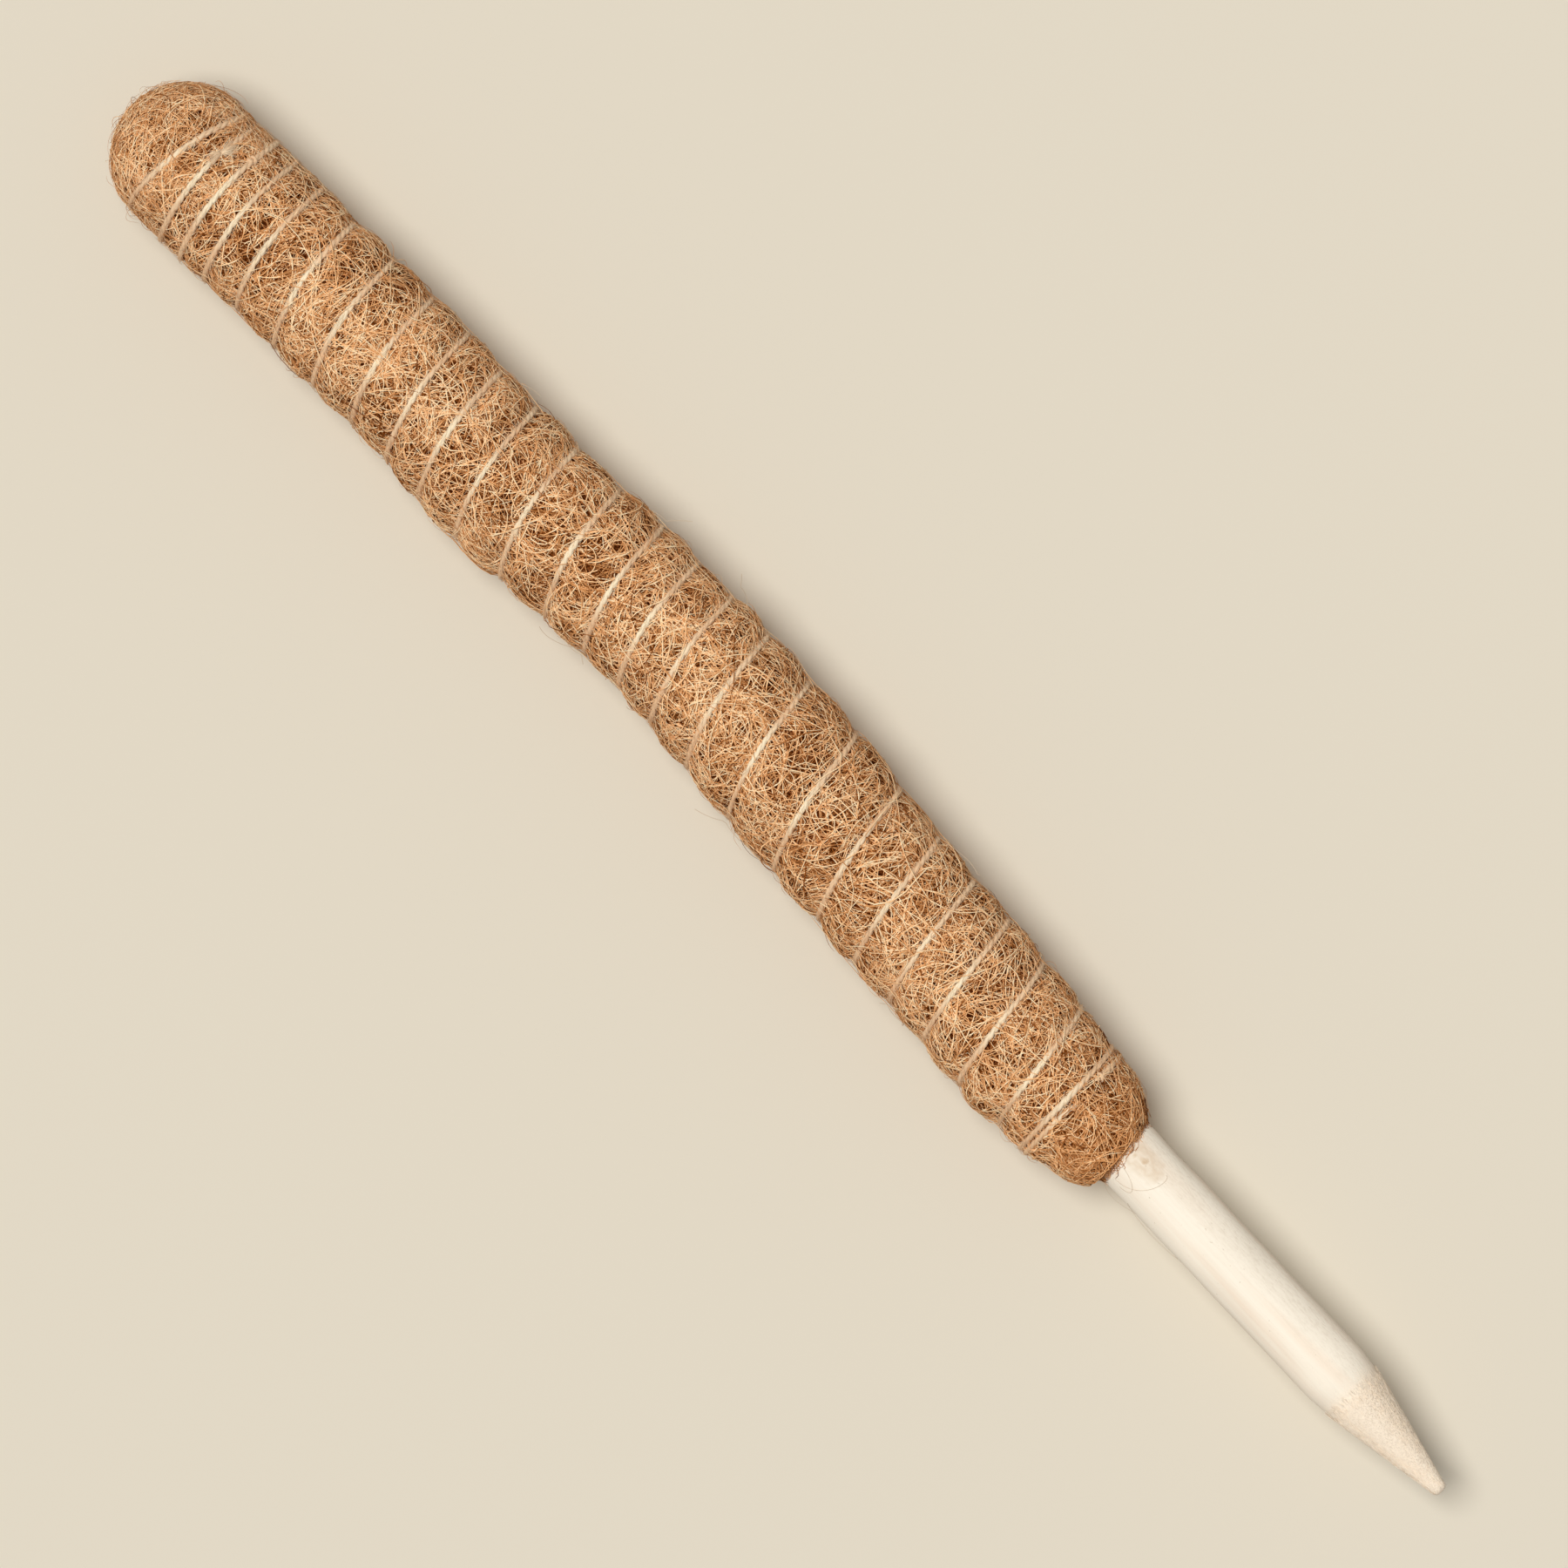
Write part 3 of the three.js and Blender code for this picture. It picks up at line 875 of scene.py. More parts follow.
def wood_material(colours):
    """Pale bare wood: grain, warm streaks, specks, one knot mark, dry grain and the gritty point; dry
    grain and grit grow greyer towards +X as painted shade.
    """
    material, nodes, shader = new_material("bare_wood", 0.62, 0.3)
    place = nodes.object_place()
    axes = nodes.axes(place)
    grain, streak, speck, dry, grit = (nodes.noise(place, *noise) for noise in (
        WOOD_GRAIN, WOOD_STREAK, WOOD_SPECK, WOOD_DRY, WOOD_GRIT))
    colour = nodes.mix(nodes.spread(streak, 0.42, 0.7), colours.wood_pale, colours.wood_warm)
    colour = nodes.mix(nodes.spread(grain, 0.52, 0.85, 0, 0.16), colour, colours.wood_grey)
    colour = nodes.mix(nodes.spread(speck, 0.74, 0.8, 0, 0.5), colour, colours.wood_grey)
    colour = nodes.mix(knot_mark(nodes, place), colour, colours.wood_knot)
    # Dry grain greys more towards +X, the side away from the key: dry grain plus painted shade
    dry_shade_side = nodes.spread(axes["X"], -1 * MM, 5 * MM, 0.04, 0.3)
    dry_grain_and_shade = nodes.times(nodes.spread(dry, 0.46, 0.72), dry_shade_side)
    colour = nodes.mix(dry_grain_and_shade, colour, colours.wood_grey)
    # Grit on the point greys more towards +X too: grit plus painted shade on the shaded side
    grit_shade_side = nodes.spread(axes["X"], -3 * MM, 4 * MM, 0.3, 1.0)
    grit_and_shade = nodes.times(nodes.spread(grit, 0.44, 0.68), grit_shade_side)
    rough = nodes.mix(grit_and_shade, colours.wood_cut, colours.wood_grey)
    uneven = nodes.plus(nodes.centred(streak, 5 * MM), nodes.centred(grit, 9 * MM))
    cut = nodes.spread(nodes.plus(axes["Z"], uneven), SHOULDER_HEIGHT + 1.5 * MM, SHOULDER_HEIGHT - 3 * MM)
    relief = nodes.plus(grain, nodes.times(nodes.times(grit, cut), 8))
    nodes.cover(shader, nodes.mix(cut, colour, rough), relief, 0.25, 0.1 * MM)
    return material


# Stake


def select_parts(piece, parts, test):
    """Selects the faces or edges of a piece in edit mode whose places pass a test."""
    work = bmesh.from_edit_mesh(piece.data)
    for kind in (work.verts, work.edges, work.faces):
        for part in kind:
            part.select_set(False)
    for part in getattr(work, parts):
        if test(part):
            part.select_set(True)
    work.select_flush_mode()
    bmesh.update_edit_mesh(piece.data)


def cut_rows(piece, low, high, rows):
    """Splits the upright edges between two heights into rows."""
    def upright(edge):
        heights = [corner.co.z for corner in edge.verts]
        inside = min(heights) > low - 0.1 * MM and max(heights) < high + 0.1 * MM
        return inside and max(heights) - min(heights) > 0.9 * (high - low)
    select_parts(piece, "edges", upright)
    bpy.ops.mesh.subdivide(number_cuts=rows - 1)


def build_stake(colours):
    """A turned stick, drawn out to a blunt point and roughened where it was sharpened."""
    deselect()
    bpy.ops.mesh.primitive_cylinder_add(
        vertices=STAKE_SIDES, radius=STAKE_RADIUS, depth=STAKE_TOP - SHOULDER_HEIGHT,
        location=(0, 0, (STAKE_TOP + SHOULDER_HEIGHT) / 2))
    piece = bpy.context.object
    bpy.ops.object.transform_apply(location=True, rotation=True, scale=True)
    bpy.ops.object.mode_set(mode="EDIT")
    bpy.ops.mesh.select_mode(type="FACE")
    select_parts(piece, "faces", lambda face: face.normal.z < -0.9)
    bpy.ops.mesh.extrude_region_move(
        TRANSFORM_OT_translate={"value": (0, 0, TIP_HEIGHT - SHOULDER_HEIGHT)})
    narrow = TIP_RADIUS / STAKE_RADIUS
    bpy.ops.transform.resize(value=(narrow, narrow, 1), center_override=(0, 0, TIP_HEIGHT))
    bpy.ops.mesh.inset(thickness=TIP_INSET, depth=0)
    bpy.ops.mesh.select_mode(type="EDGE")
    bpy.ops.mesh.select_all(action="SELECT")
    bpy.ops.mesh.bisect(plane_co=(0, 0, 0), plane_no=(0, 0, 1))
    cut_rows(piece, TIP_HEIGHT, SHOULDER_HEIGHT, POINT_ROWS)
    cut_rows(piece, SHOULDER_HEIGHT, 0, BARE_ROWS)
    cut_rows(piece, 0, STAKE_TOP, WRAPPED_ROWS)
    bpy.ops.object.mode_set(mode="OBJECT")
    set_points(piece.data, carve_stake(mesh_points(piece.data)))
    return dress(named("wooden_stake", wood_material(colours)), "wood", "stake")


def carve_stake(points):
    """Hand-made unevenness: a soft shoulder, a rough point that leans a little, and the bow."""
    x, y, z = points.T
    angle = np.arctan2(y, x)
    radius = np.hypot(x, y)
    below = (SHOULDER_HEIGHT - z) / POINT_LENGTH
    soft = SHOULDER_ROUNDING * np.exp(-(below / 0.09) ** 2)
    rough = value_noise(angle * 14, z / (0.9 * MM), POINT_SEED)
    rough = rough + 0.6 * value_noise(angle * 27, z / (0.45 * MM), FINE_POINT_SEED)
    broad = value_noise(angle * 1.6, z / (9 * MM), STAKE_SEED)
    out = radius - soft + POINT_ROUGHNESS * between(below, 0, 0.04) * rough
    out = np.where(radius > 1.2 * MM, out + STAKE_UNEVENNESS * broad, radius)
    out = out * (1 - TIP_ROUNDING * between(below, 0.965, 1) ** 2)
    tip = between(below, 0.97, 1) * (1 - radius / TIP_RADIUS) * TIP_DOME
    return around(bow(z) + TIP_LEAN * between(below, 0, 1), angle, out, z + tip)


def build_splinters(colours):
    """Short raised fibres along the sharpened point."""
    thickness = np.array([0.5, 1, 1, 0.4])
    draws = Draws(SPLINTER_SEED, SPLINTER_COUNT, len(thickness))
    share = draws.share
    below = 0.02 + 0.96 * draws.rng.beta(1.0, 1.25, draws.shape)
    angle = draws.uniform(0, FULL_TURN)
    length = draws.uniform(0.5, 1.6) * MM
    skew = draws.normal(0, 0.12)
    down = np.clip(below * POINT_LENGTH + (share - 0.5) * length, 0, POINT_LENGTH)
    radius = STAKE_RADIUS + (TIP_RADIUS - STAKE_RADIUS) * down / POINT_LENGTH
    lift = draws.uniform(-0.03, 0.06) * MM * np.sin(share * np.pi * 0.9)
    turn = angle + skew * (share - 0.5) * length / radius
    paths = around(TIP_LEAN * down / POINT_LENGTH, turn, radius + lift, SHOULDER_HEIGHT - down)
    radii = draws.uniform(0.03, 0.08) * MM * thickness
    tones = draws.normal(0.55, 0.16)
    hairs("point_splinters", "wood", paths, outward(turn), radii, tones, splinter_material(colours))


def build_stake_hairs(sizes, colours):
    """A few thin fibres that have come to lie on the stake below the coir."""
    steps = np.linspace(0, 1, LONG_HAIR_STEPS)
    paths = []
    for hair in STAKE_HAIRS:
        knots = np.linspace(0, 1, len(hair))
        x, z = (np.polyval(np.polyfit(knots, places, 3), steps) * MM for places in zip(*hair))
        y = -np.sqrt(np.maximum(STAKE_RADIUS ** 2 - x ** 2, 0)) - STAKE_HAIR_LIFT
        paths.append(np.stack([x, y, z], -1))
    paths = np.stack(paths)
    normals = unit(paths * np.array([1, 1, 0]))
    radius = STAKE_HAIR_THICKNESS * sizes.fibre_radius
    hairs("stake_hairs", "coir", paths, normals, radius, DARKEST, splinter_material(colours))


# Coir


def build_wall(name, segments, rows, outside, low, bore, follow, material):
    """A thick tube: a ring primitive laid along the wall's outline, which goes up the outside, in over
    the top, down the bore and out under the foot. follow is how far it lies to the coir's middle."""
    deselect()
    bpy.ops.mesh.primitive_torus_add(
        major_segments=segments, minor_segments=sum(rows), major_radius=CREST_RADIUS,
        minor_radius=INNER_RADIUS / 2)
    high = CAP_SEAM - FIT_GAP
    up, top, down, foot = (np.arange(count) / count for count in rows)
    heights = np.concatenate([
        low + (high - low) * up, 0 * top + high, high + (low - high) * down, 0 * foot + low])
    shares = np.concatenate([0 * up + 1, 1 - top, 0 * down, foot])
    angle = np.arange(segments)[:, None] * FULL_TURN / segments
    heights, shares, angle = np.broadcast_arrays(heights, shares, angle)
    radius = bore + (outside(angle, heights) - bore) * shares
    middle = bow(heights) + follow * shares * (coir_middle(heights) - bow(heights))
    points = drape(around(middle, angle, radius, heights))
    set_points(bpy.context.object.data, points)
    return named(name, material)


def felt_radius(angle, height):
    return coir_radius(angle, height) - FELT_DEPTH


def inner_radius(angle, height):
    """Outside of the inner wrap, which thins out to a ragged edge on the stake."""
    ragged = 0.4 * MM * value_noise(angle * 5, height / (1.5 * MM), RAGGED_SEED)
    return np.minimum(INNER_RADIUS, STAKE_RADIUS + 0.9 * MM + 0.55 * height) + ragged


def build_coir(colours):
    """The felted wraps and the cap that closes the top."""
    felt = felt_material("coir_felt", colours, 0.0)
    # The inner wrap's felt is painted darker still: painted shade deeper in
    deep_felt = felt_material("deep_coir_felt", colours, 0.1)
    outer = build_wall("outer_coir_felt", 112, (220, 3, 28, 4), felt_radius, 1.5 * MM,
                       STAKE_RADIUS + FIT_GAP, 1, felt)
    inner = build_wall("inner_coir_felt", 72, (90, 3, 40, 3), inner_radius, 0.8 * MM,
                       STAKE_RADIUS + 0.1 * MM, 0, deep_felt)
    cap = build_cap(felt)
    for piece, slot, node in ((outer, "coir", "outer_coir_wrap"), (inner, "deep_coir", "inner_coir_wrap"),
                              (cap, "coir", "coir_top_cap")):
        dress(piece, slot, node)


def build_cap(material):
    """A ball drawn into a dome with a flat underside."""
    deselect()
    bpy.ops.mesh.primitive_uv_sphere_add(segments=96, ring_count=60, radius=1)
    piece = bpy.context.object
    points = mesh_points(piece.data)
    angle = np.arctan2(points[:, 1], points[:, 0])
    rise = np.arcsin(np.clip(points[:, 2], -1, 1)) / (np.pi / 2)
    flat = between(rise, -1, CAP_EDGE)
    wall = between(rise, CAP_EDGE, CAP_WALL_TOP)
    dome = between(rise, CAP_WALL_TOP, 1) * np.pi / 2
    height = CAP_SEAM + (DOME_BASE - CAP_SEAM) * wall + (DOME_RISE - FELT_DEPTH) * np.sin(dome)
    radius = felt_radius(angle, np.minimum(height, DOME_BASE)) * np.cos(dome) * flat
    set_points(piece.data, around(coir_middle(height), angle, radius, height))
    return named("cap_felt", material)


# Fibres


def combed(rng, places, normals):
    """Directions along the surface: most follow the lie of the fibres near them, the rest none."""
    count = len(places)
    angle = np.arctan2(places[:, 1], places[:, 0])
    lie = LIE_SWING * value_noise(angle * 2.1 + 20, places[:, 2] / LIE_WIDTH, LIE_SEED)
    loose = rng.uniform(size=count) < LOOSE_SHARE
    turned = lie + np.where(loose, rng.uniform(0, FULL_TURN, count), rng.normal(0, LIE_SPREAD, count))
    level = unit(np.cross(ALMOST_UP, normals))
    return np.cos(turned)[:, None] * level + np.sin(turned)[:, None] * np.cross(normals, level)


def lay(rng, starts, lengths, curls, steps, cinch=FELT_CINCH):
    """Paths that wander over the coir from their starts, with the surface's normals."""
    places, normals = settle(starts, cinch)
    heading = combed(rng, places, normals)
    swing = rng.normal(0, SWING, len(starts))
    phase = rng.uniform(0, FULL_TURN, len(starts))
    stride = (lengths / (steps - 1))[:, None]
    paths = [places]
    ups = [normals]
    for step in range(1, steps):
        bend = (curls + swing * np.sin(phase + step * 0.8))[:, None] * stride
        heading = heading * np.cos(bend) + np.cross(normals, heading) * np.sin(bend)
        ahead = places + heading * stride
        turned = ahead[:, 2] < LOWEST_FIBRE
        heading[turned, 2] = np.abs(heading[turned, 2])
        places, normals = settle(ahead, cinch)
        heading = unit(heading - normals * (heading * normals).sum(-1, keepdims=True))
        paths.append(places)
        ups.append(normals)
    return np.stack(paths, 1), np.stack(ups, 1)


def scattered(rng, count, low, high):
    """Places spread evenly over the coir between two heights."""
    along, turn = ((np.arange(count)[:, None] * EVEN_STEPS + rng.uniform(size=2)) % 1.0).T
    height = low + (high - low) * along
    radius = CREST_RADIUS * np.sqrt(1 - between(height, DOME_BASE, COIR_LENGTH) ** 2)
    return around(coir_middle(height), FULL_TURN * turn, radius, height)


def patches(places):
    """Slow change of tone over the mat, from -1 to 1."""
    angle = np.arctan2(places[:, 1], places[:, 0])
    return value_noise(angle * 1.7 + 8, places[:, 2] / (14 * MM), PATCH_SEED)


def ends(share, power):
    """0 along the middle of a strand, rising to 1 at both its ends."""
    return np.abs(2 * share - 1) ** power


def build_fibres(sizes, colours):
    """The matted fibres of the coir's outside, split by height into pieces."""
    rng = np.random.default_rng(FIBRE_SEED)
    count = sizes.fibre_count
    starts = scattered(rng, count, 0.5 * MM, COIR_LENGTH - 0.2 * MM)
    starts = starts[np.argsort(starts[:, 2])]
    height = starts[:, 2]
    near_top = between(height, COIR_LENGTH - 42 * MM, COIR_LENGTH - 30 * MM)
    on_top = rng.uniform(size=count) < ON_TOP_SHARE + ON_TOP_MORE * near_top
    lengths = sizes.fibre_length * np.clip(rng.lognormal(0, 0.35, count), 0.4, 2.0)
    lengths[on_top] *= ON_TOP_LENGTH
    near_ends = between(np.abs(height / COIR_LENGTH - 0.5), 0.4, 0.5)
    curls = np.clip(rng.standard_t(2.5, count) * (80 + 50 * near_ends), -MOST_CURL, MOST_CURL)
    curls[on_top] *= ON_TOP_CURL
    paths, normals = lay(rng, starts, lengths, curls, FIBRE_STEPS)
    paths[on_top], normals[on_top] = lay(
        np.random.default_rng(ON_TOP_SEED), starts[on_top], lengths[on_top], curls[on_top],
        FIBRE_STEPS, ON_TOP_CINCH)
    share = np.linspace(0, 1, FIBRE_STEPS)
    depth = -1.1 + 1.35 * rng.beta(1.25, 1.0, count)
    depth[on_top] = rng.uniform(*ON_TOP_HEIGHT, on_top.sum())
    waves = rng.uniform(5, 17, count)[:, None]
    weave = WEAVE * np.sin(rng.uniform(0, FULL_TURN, count)[:, None] + share * waves)
    weave[on_top] *= ON_TOP_WEAVE
    tuck = np.where(on_top, ON_TOP_TUCK, TUCK)[:, None] * ends(share, 5)
    lift = (depth[:, None] + weave - tuck) * MM
    paths = drape(paths + normals * lift[..., None])
    thick = sizes.fibre_radius * np.clip(rng.lognormal(0, 0.25, count), 0.55, 1.6)
    radii = thick[:, None] * (1 - 0.55 * ends(share, 6))
    near_foot = between(height, 22 * MM, 0)
    # Deeper fibres get darker tones and fibres on top lighter ones: painted shade in the mat
    tones = TONE + TONE_SPREAD * rng.normal(size=count) + PAINTED_DEPTH_SHADE * depth
    tones = tones + TONE_BY_PATCH * patches(starts)
    tones = tones + FOOT_TONE_SHARE * near_foot * (FOOT_TONE - tones)
    # The least tone also falls with depth: painted shade
    tones = np.maximum(tones, 0.2 + 0.25 * depth)
    in_cap = height > CAP_SEAM
    groups = [*np.array_split(np.flatnonzero(~in_cap), FIBRE_PIECES), np.flatnonzero(in_cap)]
    names = [f"coir_fibres_{i + 1}" for i in range(FIBRE_PIECES)] + ["cap_fibres"]
    for name, group in zip(names, groups):
        hairs(name, "coir", paths[group], normals[group], radii[group], tones[group],
              fibre_material(colours))


def build_foot_fringe(sizes, colours):
    """Short brown fibres that close the coir on the stake."""
    draws = Draws(FRINGE_SEED, FRINGE_COUNT, FRINGE_STEPS)
    share = draws.share
    angle = draws.uniform(0, FULL_TURN)
    length = draws.uniform(3, 8) * MM
    lean = draws.normal(0, 0.9)
    start = draws.uniform(0.5, 4.5) * MM
    height = start - length * share * np.cos(lean) * 0.8
    height = np.maximum(height, draws.normal(-0.2, 0.8) * MM)
    outer = draws.uniform(0.2, 2.6) * MM
    radius = STAKE_RADIUS + 0.12 * MM + outer * np.clip((height + 1.2 * MM) / (4 * MM), 0.05, 1.2)
    turn = angle + np.sin(lean) * length * share / STAKE_RADIUS
    paths = drape(around(bow(height), turn, radius, height))
    radii = sizes.fibre_radius * draws.uniform(0.3, 0.75) * (1 - 0.6 * ends(share, 4))
    tones = draws.normal(0.47, 0.16)
    hairs("foot_fringe", "deep_coir", paths, outward(turn), radii, tones, fibre_material(colours))


def build_strays(sizes, colours):
    """Hairs that leave the mat: many short ones and a few long ones that curl off the outline."""
    count = sizes.stray_count
    draws = Draws(STRAY_SEED, count, STRAY_STEPS)
    share = draws.share
    starts = np.concatenate([
        scattered(draws.rng, count - count // 3, 4 * MM, COIR_LENGTH - MM),
        scattered(draws.rng, count // 3, DOME_BASE - 6 * MM, COIR_LENGTH - 0.1 * MM)])
    lengths = draws.uniform(4, 12) * MM
    curls = draws.normal(0, 90)
    paths, normals = lay(draws.rng, starts, lengths.ravel(), curls.ravel(), STRAY_STEPS)
    rise = (0.35 + draws.rng.gamma(1.3, 0.3, draws.shape)) * MM * np.sin(share * draws.uniform(1.6, 3))
    paths = paths + normals * (rise - 0.15 * MM)[..., None]
    radii = draws.uniform(0.03, 0.07) * MM * (1 - 0.6 * share ** 3)
    tones = np.maximum(draws.normal(0.75, 0.2), 0.05)
    hairs("stray_hairs", "coir", paths, normals, radii, tones, fibre_material(colours))
    hairs("outline_hairs", "coir", long_hairs(), FRONT, LONG_HAIR_RADIUS, DARKEST,
          splinter_material(colours))


def long_hairs():
    """Paths of the hairs that leave the coir's outline."""
    share = np.linspace(0, 1, LONG_HAIR_STEPS)
    sides, heights, lengths, reaches, bends = (np.array(c, float)[:, None] for c in zip(*LONG_HAIRS))
    height = (heights + lengths * share) * MM
    out = (-0.5 + (reaches + 0.5) * share ** bends) * MM
    radius = coir_radius(np.where(sides > 0, 0, np.pi) + 0 * height, height) + out
    depth = (-2 - 4 * share) * MM + 0 * height
    return np.stack([coir_middle(height) + sides * radius, depth, height], -1)


# Twine


def bleached(turn):
    """Share of painted highlight at a turn of twine: most along the front, where it meets the light,
    uneven along the twine.
    """
    angle = ((turn + 0.5) % 1.0 - 0.5) * 360
    return bumps(angle, TWINE_HIGHLIGHTS) * (0.85 + 0.25 * line_noise(turn * 1.7, HIGHLIGHT_SEED))


def twist(name, node, paths, normals, thickness, highlight_share, sizes, material):
    """A length of twine: two plies laid round its middle line, with their share of painted highlight."""
    along = unit(np.gradient(paths, axis=0))
    across = unit(np.cross(along, normals))
    up = np.cross(across, along)
    length = np.concatenate([[0], np.cumsum(np.linalg.norm(np.diff(paths, axis=0), axis=1))])
    angle = (FULL_TURN * length / sizes.ply_lay + np.array([[0], [np.pi]]))[..., None]
    radii = np.tile(sizes.ply_radius * thickness, (2, 1))
    plies = paths + PLY_SWING * radii[..., None] * (np.cos(angle) * across + np.sin(angle) * up)
    piece = strands(name, plies, up, radii, (PLY_TONES, length / length[-1]), PLY_SIDES, material)
    layer = piece.data.attributes.new("bleached", "FLOAT", "POINT")
    layer.data.foreach_set("value", np.tile(np.repeat(highlight_share, PLY_SIDES), 2).astype(np.float32))
    return dress(piece, "jute", node)


def build_twine(name, node, first, last, sizes, material):
    """A length of twine wound between two turns."""
    turn = np.linspace(first, last, int((last - first) * STEPS_A_TURN))
    paths, normals = twine_path(turn)
    paths[:, 2] += 0.12 * MM * line_noise(turn * 14, WOBBLE_SEED)
    thickness = 1 + 0.16 * line_noise(turn * 9, THICKNESS_SEED)
    return twist(name, node, paths, normals, thickness, bleached(turn), sizes, material)


def build_knot(name, node, turn, tail_turns, drop, sizes, material):
    """A strand coiled round the twine, with its tail laid on the coir beside a turn of the twine."""
    share = np.linspace(0, 1, 40)
    middle, normal = twine_path(np.array([turn - 0.01, turn, turn + 0.01]))
    along = unit(middle[2] - middle[0])
    across = unit(np.cross(along, normal[1]))
    up = np.cross(across, along)
    angle = (KNOT_WRAPS * FULL_TURN * (share - 0.5))[:, None]
    ring = (TWINE_RADIUS * (0.8 + 0.2 * np.sin(np.pi * share)))[:, None]
    place = middle[1] - TWINE_SINK * up + ((share - 0.5) * KNOT_LENGTH)[:, None] * along
    coil = place + ring * (np.cos(angle) * across + np.sin(angle) * up)
    tail, tail_normals = twine_path(tail_turns)
    parted = np.abs(tail_turns - tail_turns[0]) * CREST_RADIUS * FULL_TURN / (7 * MM)
    tail[:, 2] += drop * smooth(parted)
    gone = np.linalg.norm(tail - tail[0], axis=1) / (5 * MM)
    tail += (coil[-1] - tail[0]) * np.exp(-gone ** 2)[:, None]
    paths = np.concatenate([coil, tail[1:]])
    normals = np.concatenate([unit(coil - place), tail_normals[1:]])
    in_coil = np.arange(len(paths)) < len(coil)
    # Share of painted highlight along the knot's coil and its tail
    highlight_share = np.concatenate([np.full(len(coil), bleached(turn)), bleached(tail_turns[1:])])
    return twist(name, node, paths, normals, np.where(in_coil, 0.72, 0.95), highlight_share, sizes, material)


def build_fuzz(sizes, colours):
    """Fine hairs on the twine."""
    draws = Draws(FUZZ_SEED, sizes.fuzz_count, FUZZ_STEPS)
    share = draws.share
    turn = draws.uniform(END_KNOT_TURN, LAST_TURN)
    sense = draws.rng.choice([-1, 1], draws.shape)
    length = draws.uniform(1, 4) * MM
    turns = turn + sense * share * length / (FULL_TURN * CREST_RADIUS)
    places, normals = twine_path(np.clip(turns, END_KNOT_TURN, LAST_TURN))
    side = draws.normal(0, 0.55) * MM
    slant = draws.normal(0, 0.8) * MM * share ** 1.6
    out = (0.45 + draws.uniform(0.1, 0.55) * np.sin(share * 2.4)) * MM
    paths = places + normals * out[..., None]
    paths[..., 2] += side + slant
    radii = draws.uniform(0.025, 0.055) * MM * (1 - 0.6 * share)
    # The fuzz is paler where the twine's painted highlight lies
    tones = draws.uniform(-0.1, 0.5) + 0.8 * bleached(turn)
    hairs("twine_fuzz", "jute", paths, normals, radii, tones, jute_hair_material(colours))


def build_tuft(colours):
    """The frayed end between the top knot and the next turn, fanned out over the coir."""
    draws = Draws(TUFT_SEED, TUFT_COUNT, TUFT_STEPS)
    share = draws.share
    start, normal = twine_path(np.array([TUFT_TURN]))
    fan = draws.normal(-0.35, 0.5) + np.pi * (draws.uniform(0, 1) < 0.4)
    length = draws.uniform(1.5, 4.5) * MM
    turn = TUFT_TURN + np.cos(fan) * length * share / (FULL_TURN * CREST_RADIUS)
    height = start[0, 2] + np.sin(fan) * length * share * (1 - 0.25 * share)
    radius = groove_radius(TUFT_TURN) + 1.4 * MM
    radius = radius + draws.uniform(-0.2, 0.8) * MM * np.sin(share * 2.6)
    paths = pole_turn(turn, radius, height)
    radii = draws.uniform(0.035, 0.08) * MM * (1 - 0.6 * share)
    tones = draws.uniform(0.1, 0.9)
    hairs("top_knot_tuft", "jute", paths, normal[0], radii, tones, jute_hair_material(colours))


# Stage


def build_camera(distance):
    camera = link(bpy.data.objects.new("camera", bpy.data.cameras.new("camera")))
    camera.data.sensor_width = SENSOR_WIDTH
    camera.data.lens = SENSOR_WIDTH * distance / FRAME_WIDTH
    turned = Matrix((PHOTO_RIGHT, PHOTO_UP, (0, -1, 0))).transposed().to_4x4()
    camera.matrix_world = Matrix.Translation(CAMERA_MIDDLE + Vector((0, -distance, 0))) @ turned
    bpy.context.scene.camera = camera


def build_backdrop(colours):
    """The pale surface that the pole lies on. It is clear from behind and takes no light away."""
    deselect()
    bpy.ops.mesh.primitive_plane_add(
        size=BACKDROP_SIZE, location=(0, BACKDROP_DEPTH, CAMERA_MIDDLE.z), rotation=(math.pi / 2, 0, 0))
    bpy.ops.object.transform_apply(location=True, rotation=True, scale=True)
    material, nodes, shader = new_material("pale_surface", 0.9, 0.1)
    nodes.feed(shader.inputs["Base Color"], colours.backdrop)
    clear = nodes.add("ShaderNodeBsdfTransparent")
    behind = nodes.add("ShaderNodeNewGeometry").outputs["Backfacing"]
    nodes.either(behind, shader.outputs["BSDF"], clear.outputs["BSDF"], "Material Output")
    backdrop = named("pale_surface", material)
    backdrop.visible_diffuse = False
    backdrop.visible_glossy = False
    backdrop.visible_transmission = False
    backdrop.visible_shadow = False


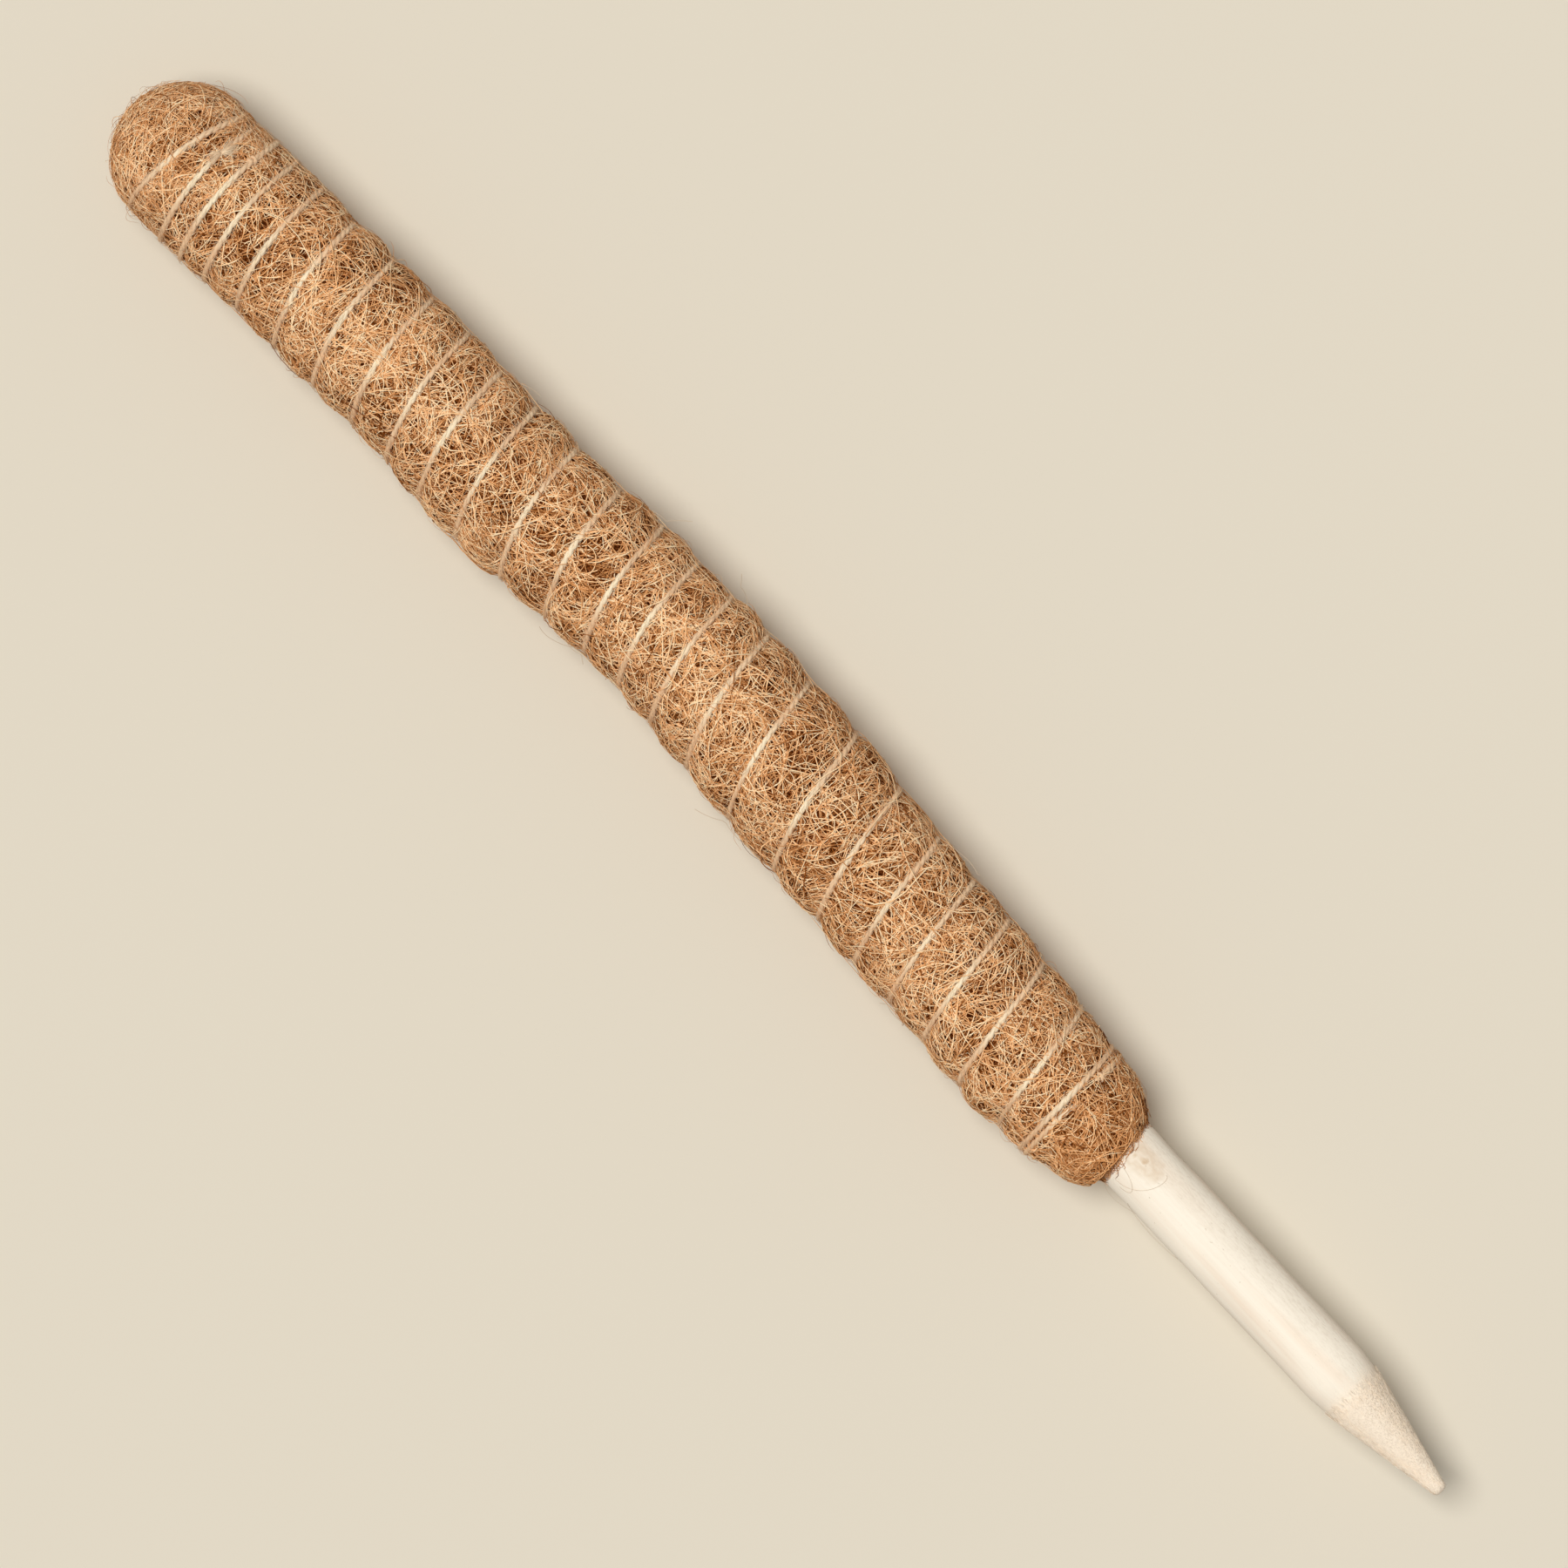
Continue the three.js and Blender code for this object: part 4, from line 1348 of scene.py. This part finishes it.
def build_light(colours):
    """A broad sun from the front, and a soft world that looks like the backdrop to the camera."""
    key = link(bpy.data.objects.new("key", bpy.data.lights.new("key", "SUN")))
    key.data.energy = KEY_STRENGTH
    key.data.angle = KEY_ANGLE
    key.rotation_euler = KEY_DIRECTION.to_track_quat("Z", "Y").to_euler()
    world = bpy.data.worlds.new("soft_light")
    world.use_nodes = True
    bpy.context.scene.world = world
    nodes = Nodes(world.node_tree)
    seen = nodes.add("ShaderNodeLightPath").outputs["Is Camera Ray"]
    soft = nodes.tree.nodes["Background"]
    ahead = nodes.axes(nodes.add("ShaderNodeTexCoord").outputs["Generated"])["Y"]
    nodes.feed(soft.inputs["Color"], nodes.mix(nodes.spread(ahead, -0.1, 0.3), SOFT_COOL, SOFT_WARM))
    nodes.feed(soft.inputs["Strength"], nodes.spread(ahead, -0.45, 0.15, SOFT_FRONT, SOFT_BEHIND))
    behind = nodes.add("ShaderNodeBackground", {"Color": colours.backdrop, "Strength": BACKDROP_GLOW})
    nodes.either(seen, soft.outputs["Background"], behind.outputs["Background"], "World Output")
    bpy.context.scene.view_settings.view_transform = "Standard"


# Operators


def settings(context):
    return context.scene.moss_pole_sizes, context.scene.moss_pole_colours


class MOSSPOLE_OT_stage(bpy.types.Operator):
    """Set up the camera, the light and the pale surface"""

    bl_idname = "mosspole.stage"
    bl_label = "Stage"
    bl_options = {"REGISTER", "UNDO"}

    def execute(self, context):
        sizes, colours = settings(context)
        build_camera(sizes.camera_distance)
        build_light(colours)
        build_backdrop(colours)
        return {"FINISHED"}


class MOSSPOLE_OT_stake(bpy.types.Operator):
    """Make the bare wooden stake and the rough fibres of its point"""

    bl_idname = "mosspole.stake"
    bl_label = "Stake"
    bl_options = {"REGISTER", "UNDO"}

    def execute(self, context):
        sizes, colours = settings(context)
        build_stake(colours)
        build_splinters(colours)
        build_stake_hairs(sizes, colours)
        return {"FINISHED"}


class MOSSPOLE_OT_coir(bpy.types.Operator):
    """Make the felted coir wraps and the domed cap"""

    bl_idname = "mosspole.coir"
    bl_label = "Coir Felt"
    bl_options = {"REGISTER", "UNDO"}

    def execute(self, context):
        build_coir(context.scene.moss_pole_colours)
        return {"FINISHED"}


class MOSSPOLE_OT_fibres(bpy.types.Operator):
    """Lay the loose fibres on the coir, the fringe at its foot and the stray hairs"""

    bl_idname = "mosspole.fibres"
    bl_label = "Coir Fibres"
    bl_options = {"REGISTER", "UNDO"}

    def execute(self, context):
        sizes, colours = settings(context)
        build_fibres(sizes, colours)
        build_foot_fringe(sizes, colours)
        build_strays(sizes, colours)
        return {"FINISHED"}


class MOSSPOLE_OT_twine(bpy.types.Operator):
    """Wind the twine, tie its knots and add its fuzz"""

    bl_idname = "mosspole.twine"
    bl_label = "Twine and Knots"
    bl_options = {"REGISTER", "UNDO"}

    def execute(self, context):
        sizes, colours = settings(context)
        material = jute_material(colours)
        build_twine("wound_twine", "binding_twine", END_KNOT_TURN, TOP_KNOT_TURN, sizes, material)
        build_twine("lashing_twine", "top_lashing", TOP_KNOT_TURN, LAST_TURN, sizes, material)
        for name, node, turn, tail, drop in (
                ("foot_knot", "end_knot", END_KNOT_TURN, np.linspace(0.95, 0.5, 100), -1.55 * MM),
                ("upper_knot", "top_knot", TOP_KNOT_TURN, np.linspace(0.02, 0.08, 12), 1.3 * MM),
                ("back_knot", "lashing_knot", LAST_TURN, np.linspace(0.02, 0.1, 12), -1.0 * MM)):
            build_knot(name, node, turn, turn + tail, drop, sizes, material)
        build_fuzz(sizes, colours)
        build_tuft(colours)
        return {"FINISHED"}


OPERATORS = (
    MOSSPOLE_OT_stage, MOSSPOLE_OT_stake, MOSSPOLE_OT_coir, MOSSPOLE_OT_fibres, MOSSPOLE_OT_twine)


class VIEW3D_PT_moss_pole(bpy.types.Panel):
    """Lists the pole's operators, sizes and colours"""

    bl_label = "Moss Pole"
    bl_space_type = "VIEW_3D"
    bl_region_type = "UI"
    bl_category = "Moss Pole"

    def draw(self, context):
        for operator in OPERATORS:
            self.layout.operator(operator.bl_idname)
        for group in settings(context):
            column = self.layout.column()
            for name in group.__annotations__:
                column.prop(group, name)


CLASSES = (MossPoleSizes, MossPoleColours, *OPERATORS, VIEW3D_PT_moss_pole)


def register():
    for cls in CLASSES:
        bpy.utils.register_class(cls)
    bpy.types.Scene.moss_pole_sizes = bpy.props.PointerProperty(type=MossPoleSizes)
    bpy.types.Scene.moss_pole_colours = bpy.props.PointerProperty(type=MossPoleColours)


def unregister():
    del bpy.types.Scene.moss_pole_colours
    del bpy.types.Scene.moss_pole_sizes
    for cls in reversed(CLASSES):
        bpy.utils.unregister_class(cls)


def main():
    register()
    bpy.ops.mosspole.stage()
    bpy.ops.mosspole.stake()
    bpy.ops.mosspole.coir()
    bpy.ops.mosspole.fibres()
    bpy.ops.mosspole.twine()


if __name__ == "__main__":
    main()
